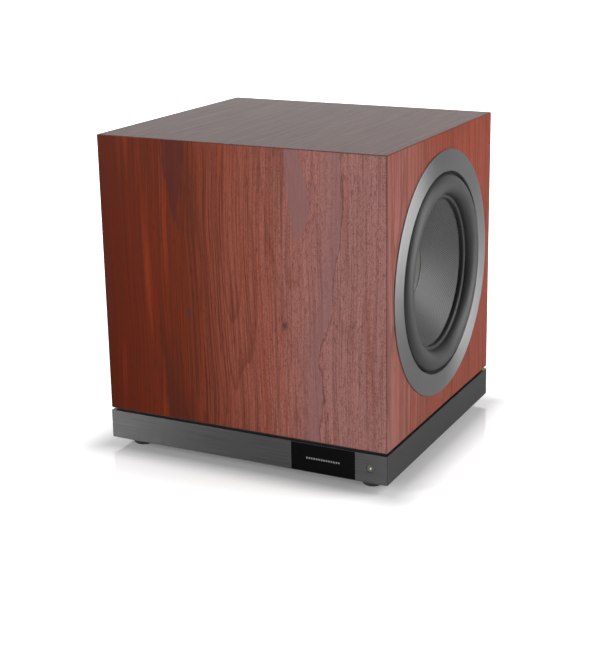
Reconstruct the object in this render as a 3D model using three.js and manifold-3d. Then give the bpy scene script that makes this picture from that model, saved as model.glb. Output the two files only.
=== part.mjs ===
// A powered subwoofer with two opposed drive units, one in each side of a veneered cabinet that stands
// on an aluminium-clad plinth. Sizes are millimetres. +X is to the right as seen from the front, the
// front faces -Y, +Z is up, and the origin is the centre of the footprint on the floor.
import * as THREE from "three";
import { mergeVertices } from "three/addons/utils/BufferGeometryUtils.js";
import Module from "manifold-3d";

const GAP = 0.3; // clearance left between pieces that are fixed against each other

// Cabinet
const CABINET_WIDTH = 400;
const CABINET_DEPTH = 360;
const CABINET_HEIGHT = 367;
const BOARD = 25;
const ARRIS = 1;
const BRACE_BOARD = 22;
const BRACE_EDGE = 26.2; // board left above and below the brace's two round windows
const BRACE_WEB = 16; // board left between them

// Plinth and feet
const FOOT_HEIGHT = 12;
const FOOT_RADIUS = 13.5;
const FOOT_INSET_X = 31;
const FOOT_INSET_Y = 27;
const PLINTH_HEIGHT = 38;
const FASCIA = 4;
const SHADOW_GAP = 3.5;
const SHADOW_INSET = 5;
const GASKET_BAND = 32;
const SCREW_RADIUS = 3;
const SCREW_HEAD_RADIUS = 5.5;
const SCREW_SEAT = 6.5;
const SCREW_HEAD = 4;
const SCREW_DEPTH = 14;

// Display window and power button in the front fascia
const WINDOW_WIDTH = 88;
const WINDOW_FROM_RIGHT = 43.2;
const WINDOW_MARGIN = 0.6;
const WINDOW_THICKNESS = 1.5;
const DISPLAY_WIDTH = 62;
const DISPLAY_HEIGHT = 14;
const BUTTON_FROM_RIGHT = 22.4;
const BUTTON_RADIUS = 4.9;
const BUTTON_GROOVE = 0.45;
const BUTTON_TRAVEL = 1;
const LENS_RADIUS = 1;

// Drive unit: radii from its axis and depths from the cabinet's side, minus being inwards
const RING_OUTER = 160;
const RING_INNER = 132;
const RING_PROUD = 1.5;
const FRAME_RADIUS = 150;
const FRAME_SEAT = -8.1;
const FRAME_FLANGE = 5;
const DRIVER_HOLE = 136;
const DRIVER_GASKET = 1.2;
const ROLL_OUTER = 129.5;
const ROLL_INNER = 101;
const ROLL_HEIGHT = 14.6;
const ROLL_WALL = 1.2;
const ROLL_SEAT = -7.8;
const CONE_RADIUS = 95.3;
const CONE_EDGE = -11.5;
const CONE_DROP = 44.4;
const CONE_BOWL = 0.28;
const CONE_WALL = 1;
const CAP_RADIUS = 44;
const CAP_RISE = 7;
const CAP_WALL = 0.9;
const COIL_RADIUS = 31.5;
const COIL_TOP = -52;
const WINDING_LENGTH = 20;
const WINDING_WALL = 1.3;
const SPIDER_RADIUS = 86;
const SPIDER_SEAT = -67;
const SPIDER_WAVES = 3;
const SPIDER_WAVE = 2.6;
const SPIDER_CLOTH = 0.8;
const MOTOR_SEAT = -86;
const MOTOR_RADIUS = 82;
const TOP_PLATE = 10;
const MAGNET = 20;
const MAGNET_RADIUS = 86;
const BACK_PLATE = 10;
const POLE_CLEARANCE = 1.1;
const VENT_RADIUS = 9;
const ARMS = 8;
const ARM_WIDTH = 15;
const RIB_WIDTH = 4.5;
const RIB_STAND = 4; // how far a rib stands out from its arm
const BASKET_SHOULDER_RADIUS = 131;
const BASKET_SHOULDER = -26;
const BASKET_FOOT_RADIUS = 92;
const BASKET_FOOT = -74;
const BASKET_WALL = 5;
const BASKET_BORE_CLEARANCE = 8.5;
const WINDOW_RING_INNER = 96;
const WINDOW_RING_OUTER = 122;
const FRAME_SCREW_RADIUS = 3;
const FRAME_SCREW_HEAD = 3;

// Amplifier in the back
const BAY_WIDTH = 236;
const BAY_HEIGHT = 296;
const BAY_DEPTH = 15;
const BAY_LEDGE = 12;
const BAY_CORNER = 5;
const AMP_PLATE = 3;
const SINK_WIDTH = 196;
const SINK_HEIGHT = 118;
const SINK_FINS = 15;
const SINK_FIN = 2.2;
const SINK_FIN_DEPTH = 8.5;
const SINK_BASE = 2.5;
const SINK_UP = 68;
const INLET_FACE_WIDTH = 30;
const INLET_FACE_HEIGHT = 44;
const INLET_WIDTH = 27;
const INLET_HEIGHT = 40;
const SOCKET_WIDTH = 24;
const SOCKET_HEIGHT = 16.5;
const SOCKET_DEPTH = 17;
const DRAWER_WIDTH = 22;
const DRAWER_HEIGHT = 11;
const ROCKER_WIDTH = 12;
const ROCKER_HEIGHT = 20;
const ROCKER_TILT = 7;
const XLR_FACE_WIDTH = 26;
const XLR_FACE_HEIGHT = 31;
const XLR_RADIUS = 11.8;
const XLR_SPACING = 34;
const LATCH_WIDTH = 8;
const LATCH_HEIGHT = 5;
const RCA_RADIUS = 4.1;
const RCA_SPACING = 22;
const RCA_LENGTH = 8.5;
const TRIGGER_RADIUS = 4;

// Facets round a full turn
const VISIBLE_FACETS = 24;
const FRAME_FACETS = 24;
const INNER_FACETS = 14;
const SMALL_FACETS = 10;

// Heights and planes that follow from the sizes above
const PLINTH_TOP = FOOT_HEIGHT + PLINTH_HEIGHT;
const CABINET_FLOOR = PLINTH_TOP + SHADOW_GAP;
const CABINET_TOP = CABINET_FLOOR + CABINET_HEIGHT;
const CABINET_MIDDLE = (CABINET_FLOOR + CABINET_TOP) / 2;
const RIGHT = CABINET_WIDTH / 2;
const BACK = CABINET_DEPTH / 2;
const FRONT = -BACK;

const wasm = await Module();
wasm.setup();
const product = new THREE.Group();

const finishes = {
  veneer: { color: 0x7a3526, roughness: 0.42, metalness: 0 },
  board: { color: 0x8a6a48, roughness: 0.85, metalness: 0 },
  black_board: { color: 0x161616, roughness: 0.8, metalness: 0 },
  amp_plate: { color: 0x1a1a1b, roughness: 0.5, metalness: 0.4 },
  fascia: { color: 0x4a4a4c, roughness: 0.38, metalness: 0.9 },
  ring: { color: 0x6a6a6a, roughness: 0.3, metalness: 1 },
  acrylic: { color: 0x101010, roughness: 0.12, metalness: 0 },
  rubber: { color: 0x2b2b2b, roughness: 0.7, metalness: 0 },
  cone: { color: 0x3c3b3a, roughness: 0.55, metalness: 0.1 },
  cast: { color: 0x2d2d2f, roughness: 0.6, metalness: 0.6 },
  steel: { color: 0x8d9094, roughness: 0.35, metalness: 1 },
  ferrite: { color: 0x2a2a2b, roughness: 0.7, metalness: 0.2 },
  cloth: { color: 0xb89a5c, roughness: 0.95, metalness: 0 },
  copper: { color: 0xb0693a, roughness: 0.4, metalness: 0.9 },
  gold: { color: 0xc9a24a, roughness: 0.3, metalness: 1 },
  circuit: { color: 0x1d4a2c, roughness: 0.6, metalness: 0 },
  plastic: { color: 0x1b1b1c, roughness: 0.5, metalness: 0 },
  lens: { color: 0xb5c52a, roughness: 0.3, metalness: 0 },
};

// A geometry's faces joined at their corners, with the empty ones at a pole left out.
function closed(geometry) {
  const bare = geometry.clone();
  for (const name of Object.keys(bare.attributes)) {
    if (name !== "position") bare.deleteAttribute(name);
  }
  const merged = mergeVertices(bare, 1e-4);
  const corners = merged.index.array;
  const kept = [];
  for (let i = 0; i < corners.length; i += 3) {
    const [a, b, c] = [corners[i], corners[i + 1], corners[i + 2]];
    if (a !== b && b !== c && c !== a) kept.push(a, b, c);
  }
  merged.setIndex(kept);
  return merged;
}

function solidOf(geometry) {
  const merged = closed(geometry);
  return new wasm.Manifold(new wasm.Mesh({
    numProp: 3,
    vertProperties: merged.attributes.position.array,
    triVerts: new Uint32Array(merged.index.array),
  }));
}

function geometryOf(solid) {
  const made = solid.getMesh();
  const geometry = new THREE.BufferGeometry();
  geometry.setAttribute("position", new THREE.BufferAttribute(made.vertProperties, 3));
  geometry.setIndex(new THREE.BufferAttribute(made.triVerts, 1));
  return geometry;
}

// body, with each of cuts taken away and each of joins added.
function shaped(body, cuts = [], joins = []) {
  let solid = solidOf(body);
  for (const join of joins) solid = solid.add(solidOf(join));
  for (const cut of cuts) solid = solid.subtract(solidOf(cut));
  return geometryOf(solid);
}

function add(name, geometry, finish, parent = product) {
  const bare = closed(geometry).toNonIndexed();
  bare.computeVertexNormals();
  const mesh = new THREE.Mesh(bare, new THREE.MeshStandardMaterial(finishes[finish]));
  mesh.name = name;
  parent.add(mesh);
  return mesh;
}

// A block between two values on each axis.
function block([x0, x1], [y0, y1], [z0, z1]) {
  const box = new THREE.BoxGeometry(x1 - x0, y1 - y0, z1 - z0);
  return box.translate((x0 + x1) / 2, (y0 + y1) / 2, (z0 + z1) / 2);
}

function outline(points) {
  return new THREE.Shape(points.map(([x, y]) => new THREE.Vector2(x, y)));
}

// A rectangle about a centre, with round corners.
function roundedOutline(width, height, radius, [cx, cy] = [0, 0]) {
  const shape = new THREE.Shape();
  const [x, y] = [width / 2 - radius, height / 2 - radius];
  shape.absarc(cx + x, cy + y, radius, 0, Math.PI / 2);
  shape.absarc(cx - x, cy + y, radius, Math.PI / 2, Math.PI);
  shape.absarc(cx - x, cy - y, radius, Math.PI, 1.5 * Math.PI);
  shape.absarc(cx + x, cy - y, radius, 1.5 * Math.PI, 2 * Math.PI);
  return shape;
}

function circle(radius, [cx, cy] = [0, 0]) {
  return new THREE.Shape().absarc(cx, cy, radius, 0, 2 * Math.PI);
}

// Outlines carried straight along an axis, from one place on it to another. An outline's own x and y
// lie along Y and Z for alongX, X and Z for alongY, and X and Y for alongZ.
function carried(shape, from, to, curveSegments) {
  const options = { depth: to - from, bevelEnabled: false, curveSegments };
  return new THREE.ExtrudeGeometry(shape, options).translate(0, 0, from);
}

function alongX(shape, from, to, curveSegments = 4) {
  const turn = new THREE.Matrix4().makeBasis(
    new THREE.Vector3(0, 1, 0), new THREE.Vector3(0, 0, 1), new THREE.Vector3(1, 0, 0));
  return carried(shape, from, to, curveSegments).applyMatrix4(turn);
}

function alongY(shape, from, to, curveSegments = 4) {
  return carried(shape, -to, -from, curveSegments).rotateX(Math.PI / 2);
}

function alongZ(shape, from, to, curveSegments = 4) {
  return carried(shape, from, to, curveSegments);
}

// A closed profile of [radius, place along the axis] turned about the axis, which lies along +Y.
function turned(profile, facets) {
  const points = profile.map(([radius, along]) => new THREE.Vector2(radius, along));
  if (THREE.ShapeUtils.area(points) < 0) points.reverse();
  const first = points.findIndex((point, i) => point.x === 0 && points.at(i - 1).x === 0);
  if (first < 0) return new THREE.LatheGeometry([...points, points[0]], facets);
  return new THREE.LatheGeometry([...points.slice(first), ...points.slice(0, first)], facets);
}

function turnedAlongX(profile, facets) {
  return turned(profile, facets).rotateZ(-Math.PI / 2);
}

function turnedAlongZ(profile, facets, [x, y] = [0, 0]) {
  return turned(profile, facets).rotateX(Math.PI / 2).translate(x, y, 0);
}

function turnedAlongY(profile, facets, [x, z]) {
  return turned(profile, facets).translate(x, 0, z);
}

// ---- Cabinet: a mitred box of veneered board, open at both sides for the drive units and at the back
// for the amplifier, with one braced board standing across the middle.

const rebateRadius = FRAME_RADIUS + 0.8;
const rebateDepth = -FRAME_SEAT + FRAME_FLANGE + DRIVER_GASKET + 2 * GAP;

// The space that one drive unit needs in its side of the cabinet: a wide rebate, and a hole that runs
// on inwards as far as the motor.
function driverCut(side) {
  const cut = turnedAlongX([
    [0, 1],
    [rebateRadius, 1],
    [rebateRadius, -rebateDepth],
    [DRIVER_HOLE, -rebateDepth],
    [DRIVER_HOLE, MOTOR_SEAT],
    [0, MOTOR_SEAT],
  ], FRAME_FACETS);
  if (side < 0) cut.rotateZ(Math.PI);
  return cut.translate(side * RIGHT, 0, CABINET_MIDDLE);
}

const cableHole = [RIGHT - WINDOW_FROM_RIGHT - WINDOW_WIDTH / 2, FRONT + BOARD + 18];
const CABLE_HOLE_RADIUS = 9;

function cabinetShell() {
  const plan = roundedOutline(CABINET_WIDTH - 2 * ARRIS, CABINET_DEPTH - 2 * ARRIS, ARRIS);
  const body = new THREE.ExtrudeGeometry(plan, {
    depth: CABINET_HEIGHT - 2 * ARRIS,
    bevelSize: ARRIS,
    bevelThickness: ARRIS,
    bevelSegments: 1,
    curveSegments: 2,
  }).translate(0, 0, CABINET_FLOOR + ARRIS);
  const middle = [0, CABINET_MIDDLE];
  const bay = roundedOutline(BAY_WIDTH, BAY_HEIGHT, BAY_CORNER, middle);
  const opening = roundedOutline(
    BAY_WIDTH - 2 * BAY_LEDGE, BAY_HEIGHT - 2 * BAY_LEDGE, BAY_CORNER, middle);
  return shaped(body, [
    block(
      [-RIGHT + BOARD, RIGHT - BOARD],
      [FRONT + BOARD, BACK - BOARD],
      [CABINET_FLOOR + BOARD, CABINET_TOP - BOARD]),
    driverCut(1),
    driverCut(-1),
    alongY(bay, BACK - BAY_DEPTH - AMP_PLATE - GAP, BACK + 1),
    alongY(opening, BACK - BOARD - 1, BACK),
    alongZ(circle(CABLE_HOLE_RADIUS, cableHole), CABINET_FLOOR - 1, CABINET_FLOOR + BOARD + 1, 4),
  ]);
}
add("cabinet_shell", cabinetShell(), "veneer");

const AMP_ROOM = 62; // from the back board to the brace's rear edge
function cabinetBrace() {
  const [low, high] = [CABINET_FLOOR + BOARD + GAP, CABINET_TOP - BOARD - GAP];
  const [front, rear] = [FRONT + BOARD + GAP, BACK - BOARD - AMP_ROOM];
  const shape = outline([[front, low], [rear, low], [rear, high], [front, high]]);
  const middle = (front + rear) / 2;
  const radius = (high - low - 2 * BRACE_EDGE - BRACE_WEB) / 4;
  const offset = radius + BRACE_WEB / 2;
  for (const way of [-1, 1]) {
    shape.holes.push(circle(radius, [middle, CABINET_MIDDLE + way * offset]));
  }
  return alongX(shape, -BRACE_BOARD / 2, BRACE_BOARD / 2, 7);
}
add("cabinet_brace", cabinetBrace(), "board");

// ---- Plinth: a black board core clad on its four sides with mitred aluminium, a recessed gasket that
// leaves the dark gap under the cabinet, and four screwed rubber feet.

const coreSide = RIGHT - FASCIA - GAP;
const coreFront = FRONT + FASCIA + GAP;
const buttonAt = [RIGHT - BUTTON_FROM_RIGHT, FOOT_HEIGHT + PLINTH_HEIGHT / 2];
const windowAt = [RIGHT - WINDOW_FROM_RIGHT - WINDOW_WIDTH / 2, FOOT_HEIGHT + PLINTH_HEIGHT / 2];
const windowHeight = PLINTH_HEIGHT - 2 * WINDOW_MARGIN;
const POCKET_DEPTH = 14;
const POCKET_MARGIN = 6;
const pocketHeights = [FOOT_HEIGHT + POCKET_MARGIN, PLINTH_TOP - POCKET_MARGIN];
const BOARD_WIDTH = 26;
const footPlaces = {
  front_left: [-RIGHT + FOOT_INSET_X, FRONT + FOOT_INSET_Y],
  front_right: [RIGHT - FOOT_INSET_X, FRONT + FOOT_INSET_Y],
  rear_left: [-RIGHT + FOOT_INSET_X, BACK - FOOT_INSET_Y],
  rear_right: [RIGHT - FOOT_INSET_X, BACK - FOOT_INSET_Y],
};
const screwHoleTop = FOOT_HEIGHT + SCREW_DEPTH + 2;

function plinthCore() {
  const body = block(
    [-coreSide, coreSide], [coreFront, -coreFront], [FOOT_HEIGHT + GAP, PLINTH_TOP]);
  const pocket = block(
    [windowAt[0] - WINDOW_WIDTH / 2 + POCKET_MARGIN, buttonAt[0] + BOARD_WIDTH / 2 + GAP],
    [coreFront - 1, coreFront + POCKET_DEPTH],
    pocketHeights);
  const holes = Object.values(footPlaces).map(
    (place) => alongZ(circle(SCREW_RADIUS + GAP, place), FOOT_HEIGHT, screwHoleTop, 8));
  const cable = block(
    [cableHole[0] - 7, cableHole[0] + 7],
    [coreFront + 2, cableHole[1] + 7],
    [pocketHeights[1] - 1, PLINTH_TOP + 1]);
  return shaped(body, [pocket, cable, ...holes]);
}
add("plinth_core", plinthCore(), "black_board");

// One side of the cladding: a flat strip with both ends mitred, drawn for the front.
function claddingStrip(length) {
  const end = length / 2 - GAP;
  return outline([
    [-end, 0],
    [end, 0],
    [end - FASCIA, FASCIA],
    [-end + FASCIA, FASCIA],
  ]);
}

function plinthFront() {
  const strip = alongZ(claddingStrip(CABINET_WIDTH), FOOT_HEIGHT, PLINTH_TOP)
    .translate(0, FRONT, 0);
  const recess = WINDOW_THICKNESS + GAP;
  return shaped(strip, [
    block(
      [windowAt[0] - WINDOW_WIDTH / 2, windowAt[0] + WINDOW_WIDTH / 2],
      [FRONT - 1, FRONT + recess],
      [windowAt[1] - windowHeight / 2, windowAt[1] + windowHeight / 2]),
    alongY(roundedOutline(DISPLAY_WIDTH + 2, DISPLAY_HEIGHT + 2, 1, windowAt),
      FRONT, FRONT + FASCIA + 1, 2),
    alongY(circle(BUTTON_RADIUS + BUTTON_GROOVE, buttonAt), FRONT - 1, FRONT + FASCIA + 1, 7),
  ]);
}
add("plinth_front", plinthFront(), "fascia");

function claddingTurned(length, quarterTurns, distance) {
  return alongZ(claddingStrip(length), FOOT_HEIGHT, PLINTH_TOP)
    .translate(0, -distance, 0)
    .rotateZ((quarterTurns * Math.PI) / 2);
}
add("plinth_right", claddingTurned(CABINET_DEPTH, 1, RIGHT), "fascia");
add("plinth_rear", claddingTurned(CABINET_WIDTH, 2, BACK), "fascia");
add("plinth_left", claddingTurned(CABINET_DEPTH, 3, RIGHT), "fascia");

function shadowGasket() {
  const [x, y] = [RIGHT - SHADOW_INSET, BACK - SHADOW_INSET];
  const shape = outline([[-x, -y], [x, -y], [x, y], [-x, y]]);
  const [hx, hy] = [x - GASKET_BAND, y - GASKET_BAND];
  shape.holes.push(outline([[-hx, -hy], [-hx, hy], [hx, hy], [hx, -hy]]));
  const band = alongZ(shape, PLINTH_TOP + GAP, CABINET_FLOOR - GAP);
  return shaped(band, [
    block(
      [cableHole[0] - 7, cableHole[0] + 7],
      [cableHole[1] - CABLE_HOLE_RADIUS, -hy + 1],
      [PLINTH_TOP, CABINET_FLOOR]),
  ]);
}
add("shadow_gasket", shadowGasket(), "rubber");

for (const [name, place] of Object.entries(footPlaces)) {
  add(`foot_${name}`, turnedAlongZ([
    [SCREW_HEAD_RADIUS + 0.6, 0],
    [FOOT_RADIUS - 3, 0],
    [FOOT_RADIUS - 1, 1.5],
    [FOOT_RADIUS, 5],
    [FOOT_RADIUS, FOOT_HEIGHT],
    [SCREW_RADIUS + GAP, FOOT_HEIGHT],
    [SCREW_RADIUS + GAP, SCREW_SEAT],
    [SCREW_HEAD_RADIUS + 0.6, SCREW_SEAT],
  ], SMALL_FACETS, place), "rubber");
  add(`foot_screw_${name}`, turnedAlongZ([
    [0, SCREW_SEAT - SCREW_HEAD],
    [SCREW_HEAD_RADIUS, SCREW_SEAT - SCREW_HEAD],
    [SCREW_HEAD_RADIUS, SCREW_SEAT - GAP],
    [SCREW_RADIUS, SCREW_SEAT - GAP],
    [SCREW_RADIUS, FOOT_HEIGHT + SCREW_DEPTH],
    [0, FOOT_HEIGHT + SCREW_DEPTH],
  ], SMALL_FACETS, place), "steel");
}

// ---- Front controls: a black window over a small display, and a push button with a lit centre.

function displayWindow() {
  return block(
    [windowAt[0] - WINDOW_WIDTH / 2 + GAP / 2, windowAt[0] + WINDOW_WIDTH / 2 - GAP / 2],
    [FRONT, FRONT + WINDOW_THICKNESS],
    [windowAt[1] - windowHeight / 2 + GAP / 2, windowAt[1] + windowHeight / 2 - GAP / 2]);
}
add("display_window", displayWindow(), "acrylic");

function displayModule() {
  const glass = alongY(roundedOutline(DISPLAY_WIDTH, DISPLAY_HEIGHT, 0.5, windowAt),
    FRONT + WINDOW_THICKNESS + 2 * GAP, coreFront + 1, 1);
  const carrier = block(
    [windowAt[0] - DISPLAY_WIDTH / 2 - 5, windowAt[0] + DISPLAY_WIDTH / 2 + 5],
    [coreFront, coreFront + 5],
    [pocketHeights[0] + 2, pocketHeights[1] - 2]);
  return shaped(carrier, [], [glass]);
}
add("display_module", displayModule(), "plastic");

const buttonFlange = coreFront + 1;
const buttonEnd = coreFront + 5;
add("power_button", turnedAlongY([
  [LENS_RADIUS + 0.25, FRONT],
  [BUTTON_RADIUS - 0.3, FRONT],
  [BUTTON_RADIUS, FRONT + 0.3],
  [BUTTON_RADIUS, coreFront],
  [BUTTON_RADIUS + 1.6, coreFront],
  [BUTTON_RADIUS + 1.6, buttonFlange],
  [2.5, buttonFlange],
  [2.5, buttonEnd],
  [LENS_RADIUS + 0.25, buttonEnd],
], INNER_FACETS, buttonAt), "fascia");
add("status_lens", turnedAlongY([
  [0, FRONT],
  [LENS_RADIUS, FRONT],
  [LENS_RADIUS, buttonEnd - 1],
  [0, buttonEnd - 1],
], 12, buttonAt), "lens");

const switchFace = buttonEnd + BUTTON_TRAVEL + GAP;
add("control_board", shaped(
  block(
    [buttonAt[0] - BOARD_WIDTH / 2, buttonAt[0] + BOARD_WIDTH / 2],
    [switchFace + 4.5, switchFace + 6.1],
    [pocketHeights[0] + GAP, pocketHeights[1] - GAP]),
  [],
  [
    block([buttonAt[0] - 3, buttonAt[0] + 3], [switchFace + 1, switchFace + 5],
      [buttonAt[1] - 3, buttonAt[1] + 3]),
    block([buttonAt[0] - 2, buttonAt[0] + 2], [switchFace, switchFace + 1.2],
      [buttonAt[1] - 2, buttonAt[1] + 2]),
  ]), "circuit");

// ---- Drive units, one in each side, alike. Each is drawn about its own axis, outwards along +X.

const coneBore = COIL_RADIUS + 1.2;
const coneSpan = CONE_RADIUS - coneBore;

// The cone's face: a shallow bowl, steeper near its edge than near the coil.
function coneFace(radius) {
  const share = (CONE_RADIUS - radius) / coneSpan;
  return CONE_EDGE - CONE_DROP * share * (1 + CONE_BOWL - CONE_BOWL * share);
}

function coneProfile() {
  const steps = 4;
  const radii = Array.from({ length: steps + 1 }, (_, i) => CONE_RADIUS - (coneSpan * i) / steps);
  const face = radii.map((radius) => [radius, coneFace(radius)]);
  const back = radii.map((radius) => [radius, coneFace(radius) - CONE_WALL]).reverse();
  const land = ROLL_SEAT - ROLL_WALL / 2 - GAP - 0.5;
  return [
    [ROLL_INNER - 0.5, land],
    [CONE_RADIUS + 0.6, land],
    ...face,
    ...back,
    [ROLL_INNER - 0.5, land - CONE_WALL],
  ];
}

function rollProfile() {
  const middle = (ROLL_OUTER + ROLL_INNER) / 2;
  const half = (ROLL_OUTER - ROLL_INNER) / 2;
  const steps = 6;
  const arch = (inset) => Array.from({ length: steps + 1 }, (_, i) => {
    const angle = (Math.PI * i) / steps;
    const height = (ROLL_HEIGHT - inset) * Math.sin(angle);
    return [middle + (half - inset) * Math.cos(angle), ROLL_SEAT + height];
  });
  const lift = ROLL_WALL;
  return [
    [RING_INNER + 9, ROLL_SEAT],
    [RING_INNER + 9, ROLL_SEAT + lift],
    ...arch(0).map(([r, a]) => [r, Math.max(a, ROLL_SEAT + lift)]),
    [CONE_RADIUS, ROLL_SEAT + lift],
    [CONE_RADIUS, ROLL_SEAT - 0.4],
    [ROLL_INNER, ROLL_SEAT - 0.4],
    ...arch(ROLL_WALL).slice(1, -1).reverse(),
    [ROLL_OUTER, ROLL_SEAT],
  ];
}

function spiderProfile() {
  const inner = COIL_RADIUS + 2;
  const [from, to] = [inner + 5, SPIDER_RADIUS - 8];
  const wave = Array.from({ length: 2 * SPIDER_WAVES + 1 }, (_, i) => {
    const radius = to + ((from - to) * i) / (2 * SPIDER_WAVES);
    const swing = i === 0 || i === 2 * SPIDER_WAVES ? 0 : i % 2 ? 1 : -1;
    return [radius, SPIDER_SEAT + swing * SPIDER_WAVE];
  });
  const line = [[SPIDER_RADIUS, SPIDER_SEAT], ...wave, [inner, SPIDER_SEAT]];
  const back = line.map(([r, a]) => [r, a - SPIDER_CLOTH]).reverse();
  return [...line, ...back];
}

const motorFront = MOTOR_SEAT - GAP;
const magnetFront = motorFront - TOP_PLATE - GAP;
const backFront = magnetFront - MAGNET - GAP;
const gapMiddle = motorFront - TOP_PLATE / 2;

// The basket is one casting: a flange that eight screws hold, eight ribbed arms that slope in, and a
// floor for the motor with a raised step that the spider's edge is glued to.
function basket() {
  const flange = FRAME_SEAT - FRAME_FLANGE;
  const floor = MOTOR_SEAT + BASKET_WALL;
  const step = SPIDER_SEAT - SPIDER_CLOTH - GAP;
  const stepInner = SPIDER_RADIUS - 7;
  const bore = COIL_RADIUS + BASKET_BORE_CLEARANCE;
  const body = turnedAlongX([
    [ROLL_OUTER - 2, FRAME_SEAT],
    [FRAME_RADIUS, FRAME_SEAT],
    [FRAME_RADIUS, flange],
    [BASKET_SHOULDER_RADIUS + 2, flange],
    [BASKET_SHOULDER_RADIUS, BASKET_SHOULDER],
    [BASKET_FOOT_RADIUS, BASKET_FOOT],
    [BASKET_FOOT_RADIUS, MOTOR_SEAT],
    [bore, MOTOR_SEAT],
    [bore, floor],
    [stepInner, floor],
    [stepInner, step],
    [SPIDER_RADIUS + 0.6, step],
    [SPIDER_RADIUS + 1.6, SPIDER_SEAT + 1],
    [BASKET_SHOULDER_RADIUS - BASKET_WALL, BASKET_SHOULDER + 2],
  ], FRAME_FACETS);
  const pitch = (2 * Math.PI) / ARMS;
  return shaped(body, armWindows(pitch), [...armRibs(pitch), ...frameScrews(pitch)]);
}

// The windows between the arms. Each is drawn with the way out from the axis along its own x.
function armWindows(pitch) {
  const half = (radius) => radius * Math.sin(pitch / 2) - ARM_WIDTH / 2;
  const window = outline([
    [WINDOW_RING_INNER, -half(WINDOW_RING_INNER)],
    [WINDOW_RING_OUTER, -half(WINDOW_RING_OUTER)],
    [WINDOW_RING_OUTER, half(WINDOW_RING_OUTER)],
    [WINDOW_RING_INNER, half(WINDOW_RING_INNER)],
  ]);
  const [deep, shallow] = [MOTOR_SEAT + 2, BASKET_SHOULDER + 6];
  return Array.from({ length: ARMS }, (_, i) =>
    carried(window, deep, shallow, 1).rotateY(Math.PI / 2).rotateX(i * pitch));
}

// The ribs that stiffen the arms' backs, drawn with x out from the axis and y along it.
function armRibs(pitch) {
  const rib = outline([
    [BASKET_SHOULDER_RADIUS - 2, BASKET_SHOULDER + 6],
    [BASKET_SHOULDER_RADIUS + RIB_STAND - 0.4, BASKET_SHOULDER - 3],
    [BASKET_FOOT_RADIUS + RIB_STAND + 1, BASKET_FOOT - RIB_STAND],
    [BASKET_FOOT_RADIUS + RIB_STAND + 0.5, MOTOR_SEAT + 2],
    [BASKET_FOOT_RADIUS - 2, MOTOR_SEAT + 2],
    [BASKET_FOOT_RADIUS - 2, BASKET_FOOT],
  ]);
  const stand = new THREE.Matrix4().makeBasis(
    new THREE.Vector3(0, 0, 1), new THREE.Vector3(1, 0, 0), new THREE.Vector3(0, 1, 0));
  return Array.from({ length: ARMS }, (_, i) =>
    carried(rib, -RIB_WIDTH / 2, RIB_WIDTH / 2, 1).applyMatrix4(stand).rotateX((i + 0.5) * pitch));
}

function frameScrews(pitch) {
  const head = [
    [0, FRAME_SEAT - 1],
    [FRAME_SCREW_RADIUS, FRAME_SEAT - 1],
    [FRAME_SCREW_RADIUS, FRAME_SEAT + FRAME_SCREW_HEAD],
    [0, FRAME_SEAT + FRAME_SCREW_HEAD],
  ];
  const out = FRAME_RADIUS - FRAME_SCREW_RADIUS - 1.5;
  return Array.from({ length: ARMS }, (_, i) =>
    turnedAlongX(head, 6).translate(0, 0, out).rotateX((i + 0.5) * pitch));
}

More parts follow.
